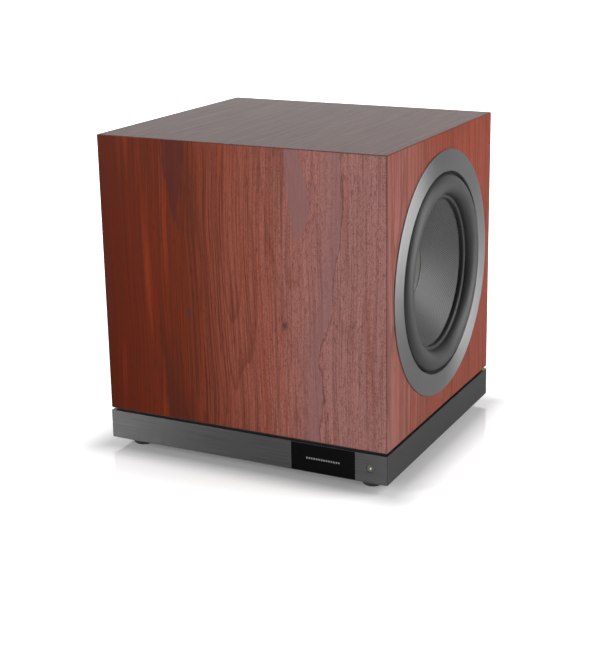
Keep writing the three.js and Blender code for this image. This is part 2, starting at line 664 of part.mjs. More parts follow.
function addDriver(side, name) {
  const unit = new THREE.Group();
  unit.position.set(side * RIGHT, 0, CABINET_MIDDLE);
  if (side < 0) unit.rotation.z = Math.PI;
  product.add(unit);
  const piece = (part, geometry, finish) => add(`${part}_${name}`, geometry, finish, unit);

  piece("trim_ring", turnedAlongX([
    [RING_OUTER, GAP],
    [RING_OUTER, RING_PROUD - 0.5],
    [RING_OUTER - 0.6, RING_PROUD],
    [RING_INNER + 0.6, RING_PROUD],
    [RING_INNER, RING_PROUD - 0.6],
    [RING_INNER, ROLL_SEAT + ROLL_WALL + GAP],
    [RING_INNER + 2, ROLL_SEAT + ROLL_WALL + GAP],
    [RING_INNER + 3.5, -2],
    [FRAME_RADIUS - 1, -2],
    [FRAME_RADIUS - 1, GAP],
  ], VISIBLE_FACETS), "ring");

  piece("basket", basket(), "cast");

  const gasketTop = FRAME_SEAT - FRAME_FLANGE - GAP;
  piece("frame_gasket", turnedAlongX([
    [DRIVER_HOLE + 1, gasketTop],
    [FRAME_RADIUS, gasketTop],
    [FRAME_RADIUS, gasketTop - DRIVER_GASKET],
    [DRIVER_HOLE + 1, gasketTop - DRIVER_GASKET],
  ], FRAME_FACETS), "rubber");

  piece("surround", turnedAlongX(rollProfile(), VISIBLE_FACETS), "rubber");
  piece("cone", turnedAlongX(coneProfile(), VISIBLE_FACETS), "cone");

  const capSeat = coneFace(CAP_RADIUS) + 0.6;
  const dome = (radius, wall) => {
    const share = Math.min(radius / CAP_RADIUS, 1);
    return capSeat + CAP_RISE * (1 - share * share) + CAP_WALL - wall;
  };
  const capRadii = [0, CAP_RADIUS * 0.45, CAP_RADIUS * 0.8, CAP_RADIUS];
  piece("dust_cap", turnedAlongX([
    ...capRadii.map((radius) => [radius, dome(radius, 0)]),
    ...capRadii.map((radius) => [radius, dome(radius, CAP_WALL)]).reverse(),
  ], INNER_FACETS), "cone");

  const windingTop = gapMiddle + WINDING_LENGTH / 2;
  const windingEnd = gapMiddle - WINDING_LENGTH / 2;
  piece("voice_coil", turnedAlongX([
    [COIL_RADIUS, COIL_TOP],
    [COIL_RADIUS + 0.6, COIL_TOP],
    [COIL_RADIUS + 0.6, windingTop],
    [COIL_RADIUS + 0.6 + WINDING_WALL, windingTop],
    [COIL_RADIUS + 0.6 + WINDING_WALL, windingEnd],
    [COIL_RADIUS, windingEnd],
  ], INNER_FACETS), "copper");

  piece("spider", turnedAlongX(spiderProfile(), INNER_FACETS), "cloth");

  const washer = (inner, outer, front, thickness) => turnedAlongX([
    [inner, front],
    [outer, front],
    [outer, front - thickness],
    [inner, front - thickness],
  ], INNER_FACETS);
  const coilClear = COIL_RADIUS + 0.6 + WINDING_WALL + 1.2;
  piece("top_plate", washer(coilClear, MOTOR_RADIUS, motorFront, TOP_PLATE), "steel");
  piece("magnet", washer(coilClear + 8, MAGNET_RADIUS, magnetFront, MAGNET), "ferrite");
  piece("pole_piece", turnedAlongX([
    [VENT_RADIUS, motorFront],
    [COIL_RADIUS - POLE_CLEARANCE, motorFront],
    [COIL_RADIUS - POLE_CLEARANCE, backFront],
    [MOTOR_RADIUS, backFront],
    [MOTOR_RADIUS, backFront - BACK_PLATE + 3],
    [MOTOR_RADIUS - 4, backFront - BACK_PLATE],
    [VENT_RADIUS + 5, backFront - BACK_PLATE],
    [VENT_RADIUS, backFront - BACK_PLATE + 5],
  ], INNER_FACETS), "steel");

  piece("terminal_block", shaped(
    block([MOTOR_SEAT + 1, MOTOR_SEAT + 10], [-14, 14], [-96, -92.6]),
    [],
    [
      block([MOTOR_SEAT - 5, MOTOR_SEAT + 2], [-10, -4], [-95, -94]),
      block([MOTOR_SEAT - 5, MOTOR_SEAT + 2], [4, 10], [-95, -94]),
    ]), "plastic");
}
addDriver(1, "right");
addDriver(-1, "left");

// ---- Amplifier: a plate sunk in the back, with a finned heat sink above and the sockets below. Its
// two circuit boards stand inside the cabinet.

const plateBack = BACK - BAY_DEPTH;
const plateInner = plateBack - AMP_PLATE;
const at = (x, z) => [x, CABINET_MIDDLE + z];
const inletAt = at(-78, -94);
const switchAt = at(-78, -50);
const xlrAt = { right: at(-8 - XLR_SPACING / 2, -50), left: at(-8 + XLR_SPACING / 2, -50) };
const rcaAt = { right: at(-8 - RCA_SPACING / 2, -98), left: at(-8 + RCA_SPACING / 2, -98) };
const triggerAt = at(48, -98);
const CUT_GAP = 0.4;

function amplifierPlate() {
  const plate = alongY(
    roundedOutline(BAY_WIDTH - 1, BAY_HEIGHT - 1, BAY_CORNER - 0.5, at(0, 0)),
    plateInner, plateBack);
  const hole = (shape, facets = 4) => alongY(shape, plateInner - 1, plateBack + 1, facets);
  const grown = 2 * CUT_GAP;
  const cuts = [
    hole(roundedOutline(INLET_WIDTH + grown, INLET_HEIGHT + grown, 2, inletAt), 1),
    hole(roundedOutline(ROCKER_WIDTH + 5 + grown, ROCKER_HEIGHT + 5 + grown, 1, switchAt), 1),
    ...Object.values(xlrAt).map((place) => hole(circle(XLR_RADIUS + CUT_GAP, place), 5)),
    ...Object.values(rcaAt).map((place) => hole(circle(RCA_RADIUS + CUT_GAP, place), 4)),
    hole(circle(TRIGGER_RADIUS + CUT_GAP, triggerAt), 4),
  ];
  const screws = [];
  for (const x of [-1, 0, 1]) {
    for (const z of [-1, 0, 1]) {
      if (x === 0 && z === 0) continue;
      const place = at(x * (BAY_WIDTH / 2 - 7), z * (BAY_HEIGHT / 2 - 7));
      screws.push(turnedAlongY([
        [0, plateBack - 1],
        [3.5, plateBack - 1],
        [3.5, plateBack + 1],
        [2, plateBack + 2],
        [0, plateBack + 2],
      ], 6, place));
    }
  }
  return shaped(plate, cuts, screws);
}
add("amplifier_plate", amplifierPlate(), "amp_plate");

function heatSink() {
  const foot = plateBack + GAP;
  const base = foot + SINK_BASE;
  const tip = base + SINK_FIN_DEPTH;
  const pitch = (SINK_WIDTH - SINK_FIN) / (SINK_FINS - 1);
  const comb = [];
  for (let i = 0; i < SINK_FINS; i++) {
    const x = -SINK_WIDTH / 2 + i * pitch;
    comb.push([x, base], [x + 0.4, tip], [x + SINK_FIN - 0.4, tip], [x + SINK_FIN, base]);
  }
  const section = outline([
    [SINK_WIDTH / 2, foot],
    [-SINK_WIDTH / 2, foot],
    ...comb,
  ].reverse());
  const low = CABINET_MIDDLE + SINK_UP - SINK_HEIGHT / 2;
  return alongZ(section, low, low + SINK_HEIGHT);
}
add("heat_sink", heatSink(), "cast");

function mainsInlet() {
  const [x, z] = inletAt;
  const faceBack = plateBack + 2.5;
  const body = alongY(roundedOutline(INLET_WIDTH, INLET_HEIGHT, 2, inletAt),
    plateInner - 20, plateBack + 1, 1);
  const face = alongY(roundedOutline(INLET_FACE_WIDTH, INLET_FACE_HEIGHT, 3, inletAt),
    plateBack + GAP, faceBack, 2);
  const socketMiddle = z - INLET_HEIGHT / 2 + 3 + SOCKET_HEIGHT / 2;
  const half = SOCKET_WIDTH / 2;
  const socket = outline([
    [x - half, socketMiddle - SOCKET_HEIGHT / 2],
    [x + half, socketMiddle - SOCKET_HEIGHT / 2],
    [x + half, socketMiddle + SOCKET_HEIGHT / 2 - 5],
    [x + half - 5, socketMiddle + SOCKET_HEIGHT / 2],
    [x - half + 5, socketMiddle + SOCKET_HEIGHT / 2],
    [x - half, socketMiddle + SOCKET_HEIGHT / 2 - 5],
  ]);
  const pins = [[-7, -2], [7, -2], [0, 2]].map(([px, pz]) => block(
    [x + px - 1, x + px + 1],
    [faceBack - SOCKET_DEPTH - 1, faceBack - 5],
    [socketMiddle + pz - 2, socketMiddle + pz + 2]));
  const drawerMiddle = z + INLET_HEIGHT / 2 - 4 - DRAWER_HEIGHT / 2;
  const drawerHole = alongY(
    roundedOutline(DRAWER_WIDTH + 0.8, DRAWER_HEIGHT + 0.8, 1, [x, drawerMiddle]),
    plateInner - 18, faceBack + 1, 1);
  const hollow = shaped(body, [alongY(socket, faceBack - SOCKET_DEPTH, faceBack + 1), drawerHole],
    [face]);
  return [shaped(hollow, [], pins), [x, drawerMiddle], faceBack];
}
const [inlet, drawerAt, inletFace] = mainsInlet();
add("mains_inlet", inlet, "plastic");

function fuseDrawer() {
  const front = alongY(roundedOutline(DRAWER_WIDTH, DRAWER_HEIGHT, 1, drawerAt),
    inletFace - 3, inletFace + 0.5, 1);
  const [x, z] = drawerAt;
  const tray = block([x - DRAWER_WIDTH / 2 + 1, x + DRAWER_WIDTH / 2 - 1],
    [plateInner - 17, inletFace - 2], [z - DRAWER_HEIGHT / 2 + 1, z + DRAWER_HEIGHT / 2 - 1]);
  const fuseBed = block([x - DRAWER_WIDTH / 2 + 3, x + DRAWER_WIDTH / 2 - 3],
    [plateInner - 14, inletFace - 5], [z - 1, z + DRAWER_HEIGHT]);
  return shaped(tray, [fuseBed], [front]);
}
add("fuse_drawer", fuseDrawer(), "plastic");

function switchFrame() {
  const [w, h] = [ROCKER_WIDTH + 1.2, ROCKER_HEIGHT + 2.4];
  const body = alongY(roundedOutline(ROCKER_WIDTH + 5, ROCKER_HEIGHT + 5, 1, switchAt),
    plateInner - 14, plateBack + 1, 1);
  const face = alongY(roundedOutline(ROCKER_WIDTH + 9, ROCKER_HEIGHT + 9, 2, switchAt),
    plateBack + GAP, plateBack + 2, 2);
  const well = alongY(roundedOutline(w, h, 0.5, switchAt), plateInner - 7, plateBack + 3, 1);
  return shaped(body, [well], [face]);
}
add("power_switch_frame", switchFrame(), "plastic");

// The rocker is turned about a cross axis through its middle, and rests with its lower end pressed in.
const rockerPivot = plateBack - 3;
function rocker() {
  const half = ROCKER_HEIGHT / 2;
  const top = 6.2;
  const sweep = outline([
    [-half, 0],
    [-half, top - 0.6],
    [0, top - 1.8],
    [half, top - 0.6],
    [half, 0],
    [0, -3],
  ]);
  // its section is drawn with x up the rocker and y out of the panel
  const stand = new THREE.Matrix4().makeBasis(
    new THREE.Vector3(0, 0, 1), new THREE.Vector3(0, 1, 0), new THREE.Vector3(-1, 0, 0));
  return carried(sweep, -ROCKER_WIDTH / 2, ROCKER_WIDTH / 2, 1)
    .applyMatrix4(stand)
    .rotateX(THREE.MathUtils.degToRad(ROCKER_TILT))
    .translate(switchAt[0], rockerPivot, switchAt[1]);
}
add("power_switch_rocker", rocker(), "plastic");

for (const [side, place] of Object.entries(xlrAt)) {
  const [x, z] = place;
  const latchMiddle = z + XLR_FACE_HEIGHT / 2 - 1.5 - LATCH_HEIGHT / 2;
  const shell = alongY(circle(XLR_RADIUS, place), plateInner - 18, plateBack + 1, 5);
  const face = alongY(roundedOutline(XLR_FACE_WIDTH, XLR_FACE_HEIGHT, 2.5, place),
    plateBack + GAP, plateBack + 2, 2);
  const throat = turnedAlongY([
    [8.2, plateBack + 3],
    [9.6, plateBack + 3],
    [9.6, plateBack - 12],
    [8.2, plateBack - 12],
  ], INNER_FACETS, place);
  const pinHoles = [[-3.8, 2], [3.8, 2], [0, -3.6]].map(([px, pz]) =>
    alongY(circle(1.3, [x + px, z + pz]), plateBack - 12, plateBack + 3, 2));
  const latchHole = block(
    [x - LATCH_WIDTH / 2 - 0.4, x + LATCH_WIDTH / 2 + 0.4],
    [plateBack, plateBack + 3],
    [latchMiddle - LATCH_HEIGHT / 2 - 0.4, latchMiddle + LATCH_HEIGHT / 2 + 0.4]);
  add(`xlr_socket_${side}`, shaped(shell, [throat, ...pinHoles, latchHole], [face]), "plastic");
  add(`xlr_latch_${side}`, block(
    [x - LATCH_WIDTH / 2, x + LATCH_WIDTH / 2],
    [plateBack + 1.6, plateBack + 4],
    [latchMiddle - LATCH_HEIGHT / 2, latchMiddle + LATCH_HEIGHT / 2]), "steel");
}

for (const [side, place] of Object.entries(rcaAt)) {
  add(`rca_socket_${side}`, turnedAlongY([
    [1.6, plateBack + RCA_LENGTH],
    [RCA_RADIUS, plateBack + RCA_LENGTH],
    [RCA_RADIUS, plateBack + 1.8],
    [RCA_RADIUS + 2.4, plateBack + 1.8],
    [RCA_RADIUS + 2.4, plateBack + GAP],
    [RCA_RADIUS, plateBack + GAP],
    [RCA_RADIUS, plateInner - 8],
    [0, plateInner - 8],
    [0, plateBack - 1],
    [1.6, plateBack - 1],
  ], SMALL_FACETS, place), "gold");
}

add("trigger_socket", turnedAlongY([
  [1.8, plateBack + 2.5],
  [TRIGGER_RADIUS, plateBack + 2.5],
  [TRIGGER_RADIUS + 1.5, plateBack + 1.5],
  [TRIGGER_RADIUS + 1.5, plateBack + GAP],
  [TRIGGER_RADIUS, plateBack + GAP],
  [TRIGGER_RADIUS, plateInner - 12],
  [0, plateInner - 12],
  [0, plateInner - 10],
  [1.8, plateInner - 10],
], SMALL_FACETS, triggerAt), "plastic");

// Both boards stand on pillars that reach the plate, with their parts on the inner face.
function circuit([x0, x1], [z0, z1], parts, pillars) {
  const face = plateInner - 26;
  const joins = parts.map(([shape, tall]) => alongY(shape, face - 1.6 - tall, face - 1, 3));
  for (const [x, z] of pillars) {
    joins.push(alongY(circle(3, [x, z]), face - 0.5, plateInner - GAP, 2));
  }
  return shaped(block([x0, x1], [face - 1.6, face], [z0, z1]), [], joins);
}
const [ampLow, ampHigh] = [CABINET_MIDDLE + 12, CABINET_MIDDLE + 122];
add("amplifier_board", circuit([-92, 92], [ampLow, ampHigh], [
  [circle(9, [-70, ampLow + 24]), 22],
  [circle(9, [-46, ampLow + 24]), 22],
  [circle(9, [70, ampLow + 24]), 22],
  [circle(9, [46, ampLow + 24]), 22],
  [outline([[-22, ampLow + 12], [22, ampLow + 12], [22, ampLow + 46], [-22, ampLow + 46]]), 16],
  [outline([[-80, ampHigh - 30], [80, ampHigh - 30], [80, ampHigh - 18], [-80, ampHigh - 18]]), 12],
], [[-84, ampLow + 8], [84, ampLow + 8], [-84, ampHigh - 8], [84, ampHigh - 8]]), "circuit");
const [supplyLow, supplyHigh] = [CABINET_MIDDLE - 122, CABINET_MIDDLE - 6];
add("power_supply_board", circuit([-92, 92], [supplyLow, supplyHigh], [
  [circle(11, [62, supplyLow + 22]), 26],
  [circle(11, [36, supplyLow + 22]), 26],
  [outline([[-28, supplyLow + 52], [20, supplyLow + 52], [20, supplyLow + 92],
    [-28, supplyLow + 92]]), 24],
  [outline([[-84, supplyLow + 62], [-56, supplyLow + 62], [-56, supplyLow + 88],
    [-84, supplyLow + 88]]), 14],
], [[84, supplyLow + 8], [84, supplyHigh - 8], [-38, supplyHigh - 8], [-38, supplyLow + 8]]),
"circuit");

export default product;
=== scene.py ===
"""A powered subwoofer: a veneered cabinet on an aluminium-clad plinth, with a drive unit in each side,
an amplifier in the back, and a display and a power button in the plinth's front."""
import math
import bmesh
import bpy
import numpy as np
from mathutils import Matrix, Vector


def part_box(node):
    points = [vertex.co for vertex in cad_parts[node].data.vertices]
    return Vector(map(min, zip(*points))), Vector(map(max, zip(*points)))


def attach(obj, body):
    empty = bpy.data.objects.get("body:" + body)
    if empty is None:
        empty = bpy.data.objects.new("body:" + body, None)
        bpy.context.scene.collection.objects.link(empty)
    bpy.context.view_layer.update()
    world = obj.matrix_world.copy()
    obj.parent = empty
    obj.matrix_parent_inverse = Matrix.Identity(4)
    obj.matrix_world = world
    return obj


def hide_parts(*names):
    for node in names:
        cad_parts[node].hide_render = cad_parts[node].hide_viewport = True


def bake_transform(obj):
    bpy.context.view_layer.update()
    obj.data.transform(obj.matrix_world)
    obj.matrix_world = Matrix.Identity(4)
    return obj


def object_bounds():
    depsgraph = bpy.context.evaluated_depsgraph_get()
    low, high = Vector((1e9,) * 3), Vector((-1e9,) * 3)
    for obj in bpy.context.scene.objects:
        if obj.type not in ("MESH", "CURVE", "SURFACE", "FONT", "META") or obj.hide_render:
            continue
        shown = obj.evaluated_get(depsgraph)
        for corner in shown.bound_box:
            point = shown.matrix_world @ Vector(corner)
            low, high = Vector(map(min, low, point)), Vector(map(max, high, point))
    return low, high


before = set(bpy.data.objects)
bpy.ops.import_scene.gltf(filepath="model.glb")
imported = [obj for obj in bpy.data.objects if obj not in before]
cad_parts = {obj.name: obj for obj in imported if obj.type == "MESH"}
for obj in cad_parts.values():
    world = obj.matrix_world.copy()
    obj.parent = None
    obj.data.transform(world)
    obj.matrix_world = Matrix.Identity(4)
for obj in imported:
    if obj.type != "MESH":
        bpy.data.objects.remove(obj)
cad_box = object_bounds()

# ---- View. The camera stands to the front and right, a little above the cabinet's top. The lens is
# long, and shifted slightly so that the cabinet's upright edges stay nearly upright.
AZIMUTH, ELEVATION, ROLL = (math.radians(a) for a in (25.46, 15.33, -0.58))
CAMERA_PLACE = (0.818, -1.606, 0.7045)
LENS = 73.8
SHIFT = (-0.0595, -0.0893)

back = np.array([math.sin(AZIMUTH) * math.cos(ELEVATION), -math.cos(AZIMUTH) * math.cos(ELEVATION),
                 math.sin(ELEVATION)])
across = np.array([math.cos(AZIMUTH), math.sin(AZIMUTH), 0.0])
upward = np.cross(back, across)
right = math.cos(ROLL) * across + math.sin(ROLL) * upward
up = math.cos(ROLL) * upward - math.sin(ROLL) * across
camera = bpy.data.objects.new("camera", bpy.data.cameras.new("camera"))
bpy.context.scene.collection.objects.link(camera)
turn = Matrix(np.array([right, up, back]).T.tolist()).to_4x4()
camera.matrix_world = Matrix.Translation(CAMERA_PLACE) @ turn
camera.data.lens = LENS
camera.data.sensor_width = 36.0
camera.data.shift_x, camera.data.shift_y = SHIFT
bpy.context.scene.camera = camera


# ---- Floor: a white acrylic table that runs out of every view. It is lifted to white for the camera
# only; the lift fades out near the plinth, a painted contact shadow, and its faint gloss gives the
# reflection.
def new_material(name):
    """A material, its node tree, and its Principled shader."""
    made = bpy.data.materials.new(name)
    made.use_nodes = True
    return made, made.node_tree, made.node_tree.nodes["Principled BSDF"]


def add_node(tree, kind, inputs=None, **settings):
    """A shader node with its settings, and with each input either linked to a socket or given a value."""
    made = tree.nodes.new("ShaderNode" + kind)
    for name, value in settings.items():
        setattr(made, name, value)
    for name, value in (inputs or {}).items():
        if isinstance(value, bpy.types.NodeSocket):
            tree.links.new(value, made.inputs[name])
        else:
            made.inputs[name].default_value = value
    return made


def calc(tree, operation, *values, clamp=False):
    """One arithmetic step on sockets or numbers, as a socket."""
    inputs = dict(enumerate(values))
    return add_node(tree, "Math", inputs, operation=operation, use_clamp=clamp).outputs[0]


def ramp(tree, factor, stops):
    """The colour or grey at factor, between stops of (place, colour)."""
    made = add_node(tree, "ValToRGB", {"Fac": factor})
    elements = made.color_ramp.elements
    while len(elements) < len(stops):
        elements.new(0.5)
    for element, (place, colour) in zip(elements, stops):
        element.position = place
        element.color = (*colour, 1) if isinstance(colour, tuple) else (colour, colour, colour, 1)
    return made.outputs["Color"]


def show(made):
    """Puts an object in the scene."""
    bpy.context.scene.collection.objects.link(made)
    return made


FLOOR_SIZE = 40.0
FLOOR_WHITE = 0.9
FLOOR_LIFT = 1.1
SHADOW_REACH = 2.0

half = FLOOR_SIZE / 2
floor_mesh = bpy.data.meshes.new("floor")
floor_mesh.from_pydata([(-half, -half, 0), (half, -half, 0), (half, half, 0), (-half, half, 0)], [],
                       [(0, 1, 2, 3)])
floor = show(bpy.data.objects.new("floor", floor_mesh))
floor_finish, tree, shader = new_material("white_acrylic_table")
shader.inputs["Base Color"].default_value = (FLOOR_WHITE, FLOOR_WHITE, FLOOR_WHITE, 1)
shader.inputs["Roughness"].default_value = 0.07
shader.inputs["IOR"].default_value = 1.3
shader.inputs["Emission Color"].default_value = (1, 1, 1, 1)
spot = add_node(tree, "SeparateXYZ", {0: add_node(tree, "TexCoord").outputs["Object"]})
outside = [calc(tree, "MAXIMUM", calc(tree, "SUBTRACT", calc(tree, "ABSOLUTE", spot.outputs[k]), edge), 0.0)
           for k, edge in enumerate(cad_box[1][:2])]
away = calc(tree, "SQRT", calc(tree, "ADD", *(calc(tree, "POWER", part, 2.0) for part in outside)))
# the lift all but vanishes under the plinth and grows over a metre round it: a painted contact shadow
lift_past_painted_shadow = ramp(tree, calc(tree, "DIVIDE", away, SHADOW_REACH), [
    (0.0, 0.04), (0.02, 0.47), (0.06, 0.69), (0.5, 1.0)])
lift = calc(tree, "MULTIPLY", add_node(tree, "LightPath").outputs["Is Camera Ray"],
            calc(tree, "MULTIPLY", lift_past_painted_shadow, FLOOR_LIFT))
tree.links.new(lift, shader.inputs["Emission Strength"])
floor_mesh.materials.append(floor_finish)

# ---- Light: a white room seen by the camera. The object itself stands in a dim room with a bright
# screen behind it, a tall softbox at the left, broad ones at the front and low at the right, and a
# weaker one high at the right.
DIM, SCREEN = 0.1, 2.0


def choose(tree, factor, first, second):
    """Two numbers mixed."""
    return add_node(tree, "Mix", {0: factor, 2: first, 3: second}).outputs[0]


world = bpy.data.worlds.new("studio")
world.use_nodes = True
tree = world.node_tree
way = add_node(tree, "TexCoord").outputs["Generated"]
towards = add_node(tree, "VectorMath", {0: way, 1: (-0.43, 0.9, 0.0)}, operation="DOT_PRODUCT")
behind = ramp(tree, towards.outputs["Value"], [(0.7, 0.0), (0.93, 1.0)])
low_down = ramp(tree, add_node(tree, "SeparateXYZ", {0: way}).outputs["Z"], [(0.35, 1.0), (0.7, 0.0)])
screen = calc(tree, "MULTIPLY", behind, low_down)
seen = add_node(tree, "LightPath").outputs["Is Camera Ray"]
room = choose(tree, seen, calc(tree, "MULTIPLY_ADD", screen, SCREEN - DIM, DIM), 1.0)
tree.links.new(room, tree.nodes["Background"].inputs["Strength"])
tree.nodes["Background"].inputs["Color"].default_value = (1, 1, 1, 1)
bpy.context.scene.world = world
bpy.context.scene.view_settings.view_transform = "Standard"


def softbox(name, place, aim, width, height, power):
    """A rectangular area light at place that faces aim."""
    lamp = bpy.data.lights.new(name, "AREA")
    lamp.shape = "RECTANGLE"
    lamp.size, lamp.size_y = width, height
    lamp.energy = power
    made = show(bpy.data.objects.new(name, lamp))
    facing = (Vector(aim) - Vector(place)).to_track_quat("-Z", "Y")
    made.matrix_world = Matrix.Translation(place) @ facing.to_matrix().to_4x4()


softbox("right_softbox", (2.2, 0.7, 0.38), (0.2, 0, 0.25), 2.0, 0.7, 30)
softbox("high_softbox", (1.6, 0.5, 1.2), (0.2, 0, 0.25), 0.9, 0.9, 17)
softbox("left_softbox", (-2.1, -2.4, 1.0), (0, 0, 0.2), 0.5, 2.0, 54)
softbox("front_softbox", (-0.3, -3.2, 0.9), (0, 0, 0.25), 1.1, 1.1, 38)

# ---- Cabinet: a mitred box of fibreboard under reddish rosewood-like veneer, sprayed with satin lacquer.
# The leaves' grain is upright on the four sides, and runs front to back on the top.
LOW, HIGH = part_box("cabinet_shell")
AXIS_HEIGHT = (LOW.z + HIGH.z) / 2
SKIN = 0.0009
WOOD_DEEP = (0.1, 0.007, 0.0005)
WOOD_RED = (0.185, 0.028, 0.008)
WOOD_WARM = (0.335, 0.102, 0.07)
WOOD_PAINTED_HAZE = (0.44, 0.215, 0.2)
WOOD_BROWN = (0.078, 0.019, 0.009)
WOOD_MAUVE = (0.24, 0.125, 0.125)
WOOD_DARK = (0.035, 0.012, 0.011)
WOOD_BRIGHT = (0.34, 0.05, 0.014)
WOOD_DULL = (0.03, 0.013, 0.011)
BOARD_COLOUR = (0.36, 0.25, 0.15)
SWAY = 0.016
RINGS = 13.0
KNOTS = ((0.32, 0.6), (0.66, 0.6))
KNOT_STRETCH = 0.6
# a face belongs to a leaf if it looks at least this squarely along an axis
LEAF_FACING, ARRIS_FACING = 0.8, 0.9


def mix(tree, factor, first, second):
    """Two colours mixed; a plain colour is given as three numbers."""
    first, second = ((*c, 1) if isinstance(c, tuple) else c for c in (first, second))
    return add_node(tree, "Mix", {0: factor, 6: first, 7: second}, data_type="RGBA").outputs[2]


def curve(tree, value, points):
    """The height at value of a smooth line through points of (place, height), all from 0 to 1."""
    made = add_node(tree, "FloatCurve", {"Value": value})
    line = made.mapping.curves[0]
    line.points[0].location, line.points[-1].location = points[0], points[-1]
    for point in points[1:-1]:
        line.points.new(*point)
    made.mapping.update()
    return made.outputs[0]


def between(tree, value, left, right, soft_left, soft_right):
    """1 where value lies between left and right, falling to 0 over the width of each soft edge."""
    after = calc(tree, "DIVIDE", calc(tree, "SUBTRACT", value, left), soft_left, clamp=True)
    before = calc(tree, "DIVIDE", calc(tree, "SUBTRACT", right, value), soft_right, clamp=True)
    return calc(tree, "MULTIPLY", after, before)


def share(tree, value, start, end):
    """How far value has gone from start to end, from 0 to 1."""
    return calc(tree, "DIVIDE", calc(tree, "SUBTRACT", value, start), end - start)


def leaf_of(tree):
    """Whether a face is on the top leaf, a side leaf, the front leaf, or the arris between two."""
    facing = add_node(tree, "SeparateXYZ", {0: add_node(tree, "NewGeometry").outputs["True Normal"]})
    size_x, size_y, size_z = (calc(tree, "ABSOLUTE", part) for part in facing.outputs)
    is_top = calc(tree, "GREATER_THAN", size_z, LEAF_FACING)
    is_side = calc(tree, "GREATER_THAN", size_x, LEAF_FACING)
    is_front = calc(tree, "LESS_THAN", facing.outputs["Y"], -LEAF_FACING)
    widest = calc(tree, "MAXIMUM", size_x, calc(tree, "MAXIMUM", size_y, size_z))
    return is_top, is_side, is_front, calc(tree, "LESS_THAN", widest, ARRIS_FACING)


def leaf_tones(tree, broad, depth, u, is_top, is_front):
    """The wood's colour before its grain, with painted light in it: redder at the left of the front and
    paling to a painted haze at its right, paling to a painted haze at each side's front, and darker and
    duller on the top as painted shade.
    """
    # the front runs from deep red to pinkish grey at its right: a painted haze
    front = ramp(tree, u, [(0.0, WOOD_DEEP), (0.3, WOOD_RED), (0.55, WOOD_WARM), (0.85, WOOD_PAINTED_HAZE)])
    side = ramp(tree, broad, [(0.3, (0.27, 0.062, 0.04)), (0.7, (0.36, 0.088, 0.056))])
    # each side pales to pinkish grey towards its front edge: a painted haze
    side = mix(tree, ramp(tree, depth, [(0.0, 0.75), (0.45, 0.0)]), side, (0.4, 0.19, 0.17))
    # the top is darker and duller than the sides: a painted shade
    top = ramp(tree, broad, [(0.3, (0.15, 0.055, 0.038)), (0.7, (0.22, 0.08, 0.056))])
    return mix(tree, is_top, mix(tree, is_front, side, front), top)


def front_marks(tree, u, v):
    """The marks of the front leaf, each as its mask, strength and colour, where u runs across the leaf
    from its left and v down it: a shaded strip, a dark patch, a mauve patch, a wavy mauve band with a
    crisp dark edge, and two knots."""
    yield (between(tree, u, curve(tree, v, [(0, 0.19), (0.45, 0.19), (0.7, 0.205), (1, 0.22)]),
                   curve(tree, v, [(0, 0.19), (0.4, 0.21), (0.7, 0.27), (1, 0.36)]), 0.01, 0.06),
           0.45, WOOD_DARK)
    yield (between(tree, u, curve(tree, v, [(0, 0.235), (0.15, 0.25), (0.36, 0.285), (1, 0.4)]),
                   curve(tree, v, [(0, 0.325), (0.12, 0.315), (0.36, 0.283), (1, 0.2)]), 0.006, 0.012),
           0.6, (0.055, 0.016, 0.018))
    yield (between(tree, u, curve(tree, v, [(0, 0.665), (0.2, 0.678), (0.33, 0.702), (1, 0.9)]),
                   curve(tree, v, [(0, 0.715), (0.1, 0.735), (0.2, 0.745), (0.33, 0.7), (1, 0.3)]),
                   0.006, 0.006), 0.8, WOOD_MAUVE)
    edge = curve(tree, v, [(0, 0.855), (0.3, 0.848), (0.45, 0.822), (0.54, 0.812), (0.66, 0.782),
                           (0.8, 0.782), (1, 0.77)])
    yield between(tree, u, calc(tree, "SUBTRACT", edge, 0.075), edge, 0.07, 0.005), 0.72, WOOD_MAUVE
    yield (between(tree, u, calc(tree, "SUBTRACT", edge, 0.001), calc(tree, "ADD", edge, 0.006),
                   0.003, 0.003), 0.45, WOOD_DARK)
    for knot_u, knot_v in KNOTS:
        off = calc(tree, "SUBTRACT", u, knot_u)
        below = calc(tree, "MULTIPLY", calc(tree, "SUBTRACT", v, knot_v), KNOT_STRETCH)
        away = calc(tree, "SQRT", calc(tree, "ADD", calc(tree, "POWER", off, 2.0),
                                       calc(tree, "POWER", below, 2.0)))
        yield between(tree, away, -1.0, 0.012, 1.0, 0.008), 0.7, (0.05, 0.035, 0.036)


def within_skin(tree, spot):
    """1 inside the cabinet's boards, and 0 within the veneer's thickness of the outside."""
    masks = [between(tree, value, low + SKIN, high - SKIN, 1e-5, 1e-5)
             for value, low, high in zip(spot.outputs, LOW, HIGH)]
    return calc(tree, "MULTIPLY", masks[0], calc(tree, "MULTIPLY", *masks[1:]))


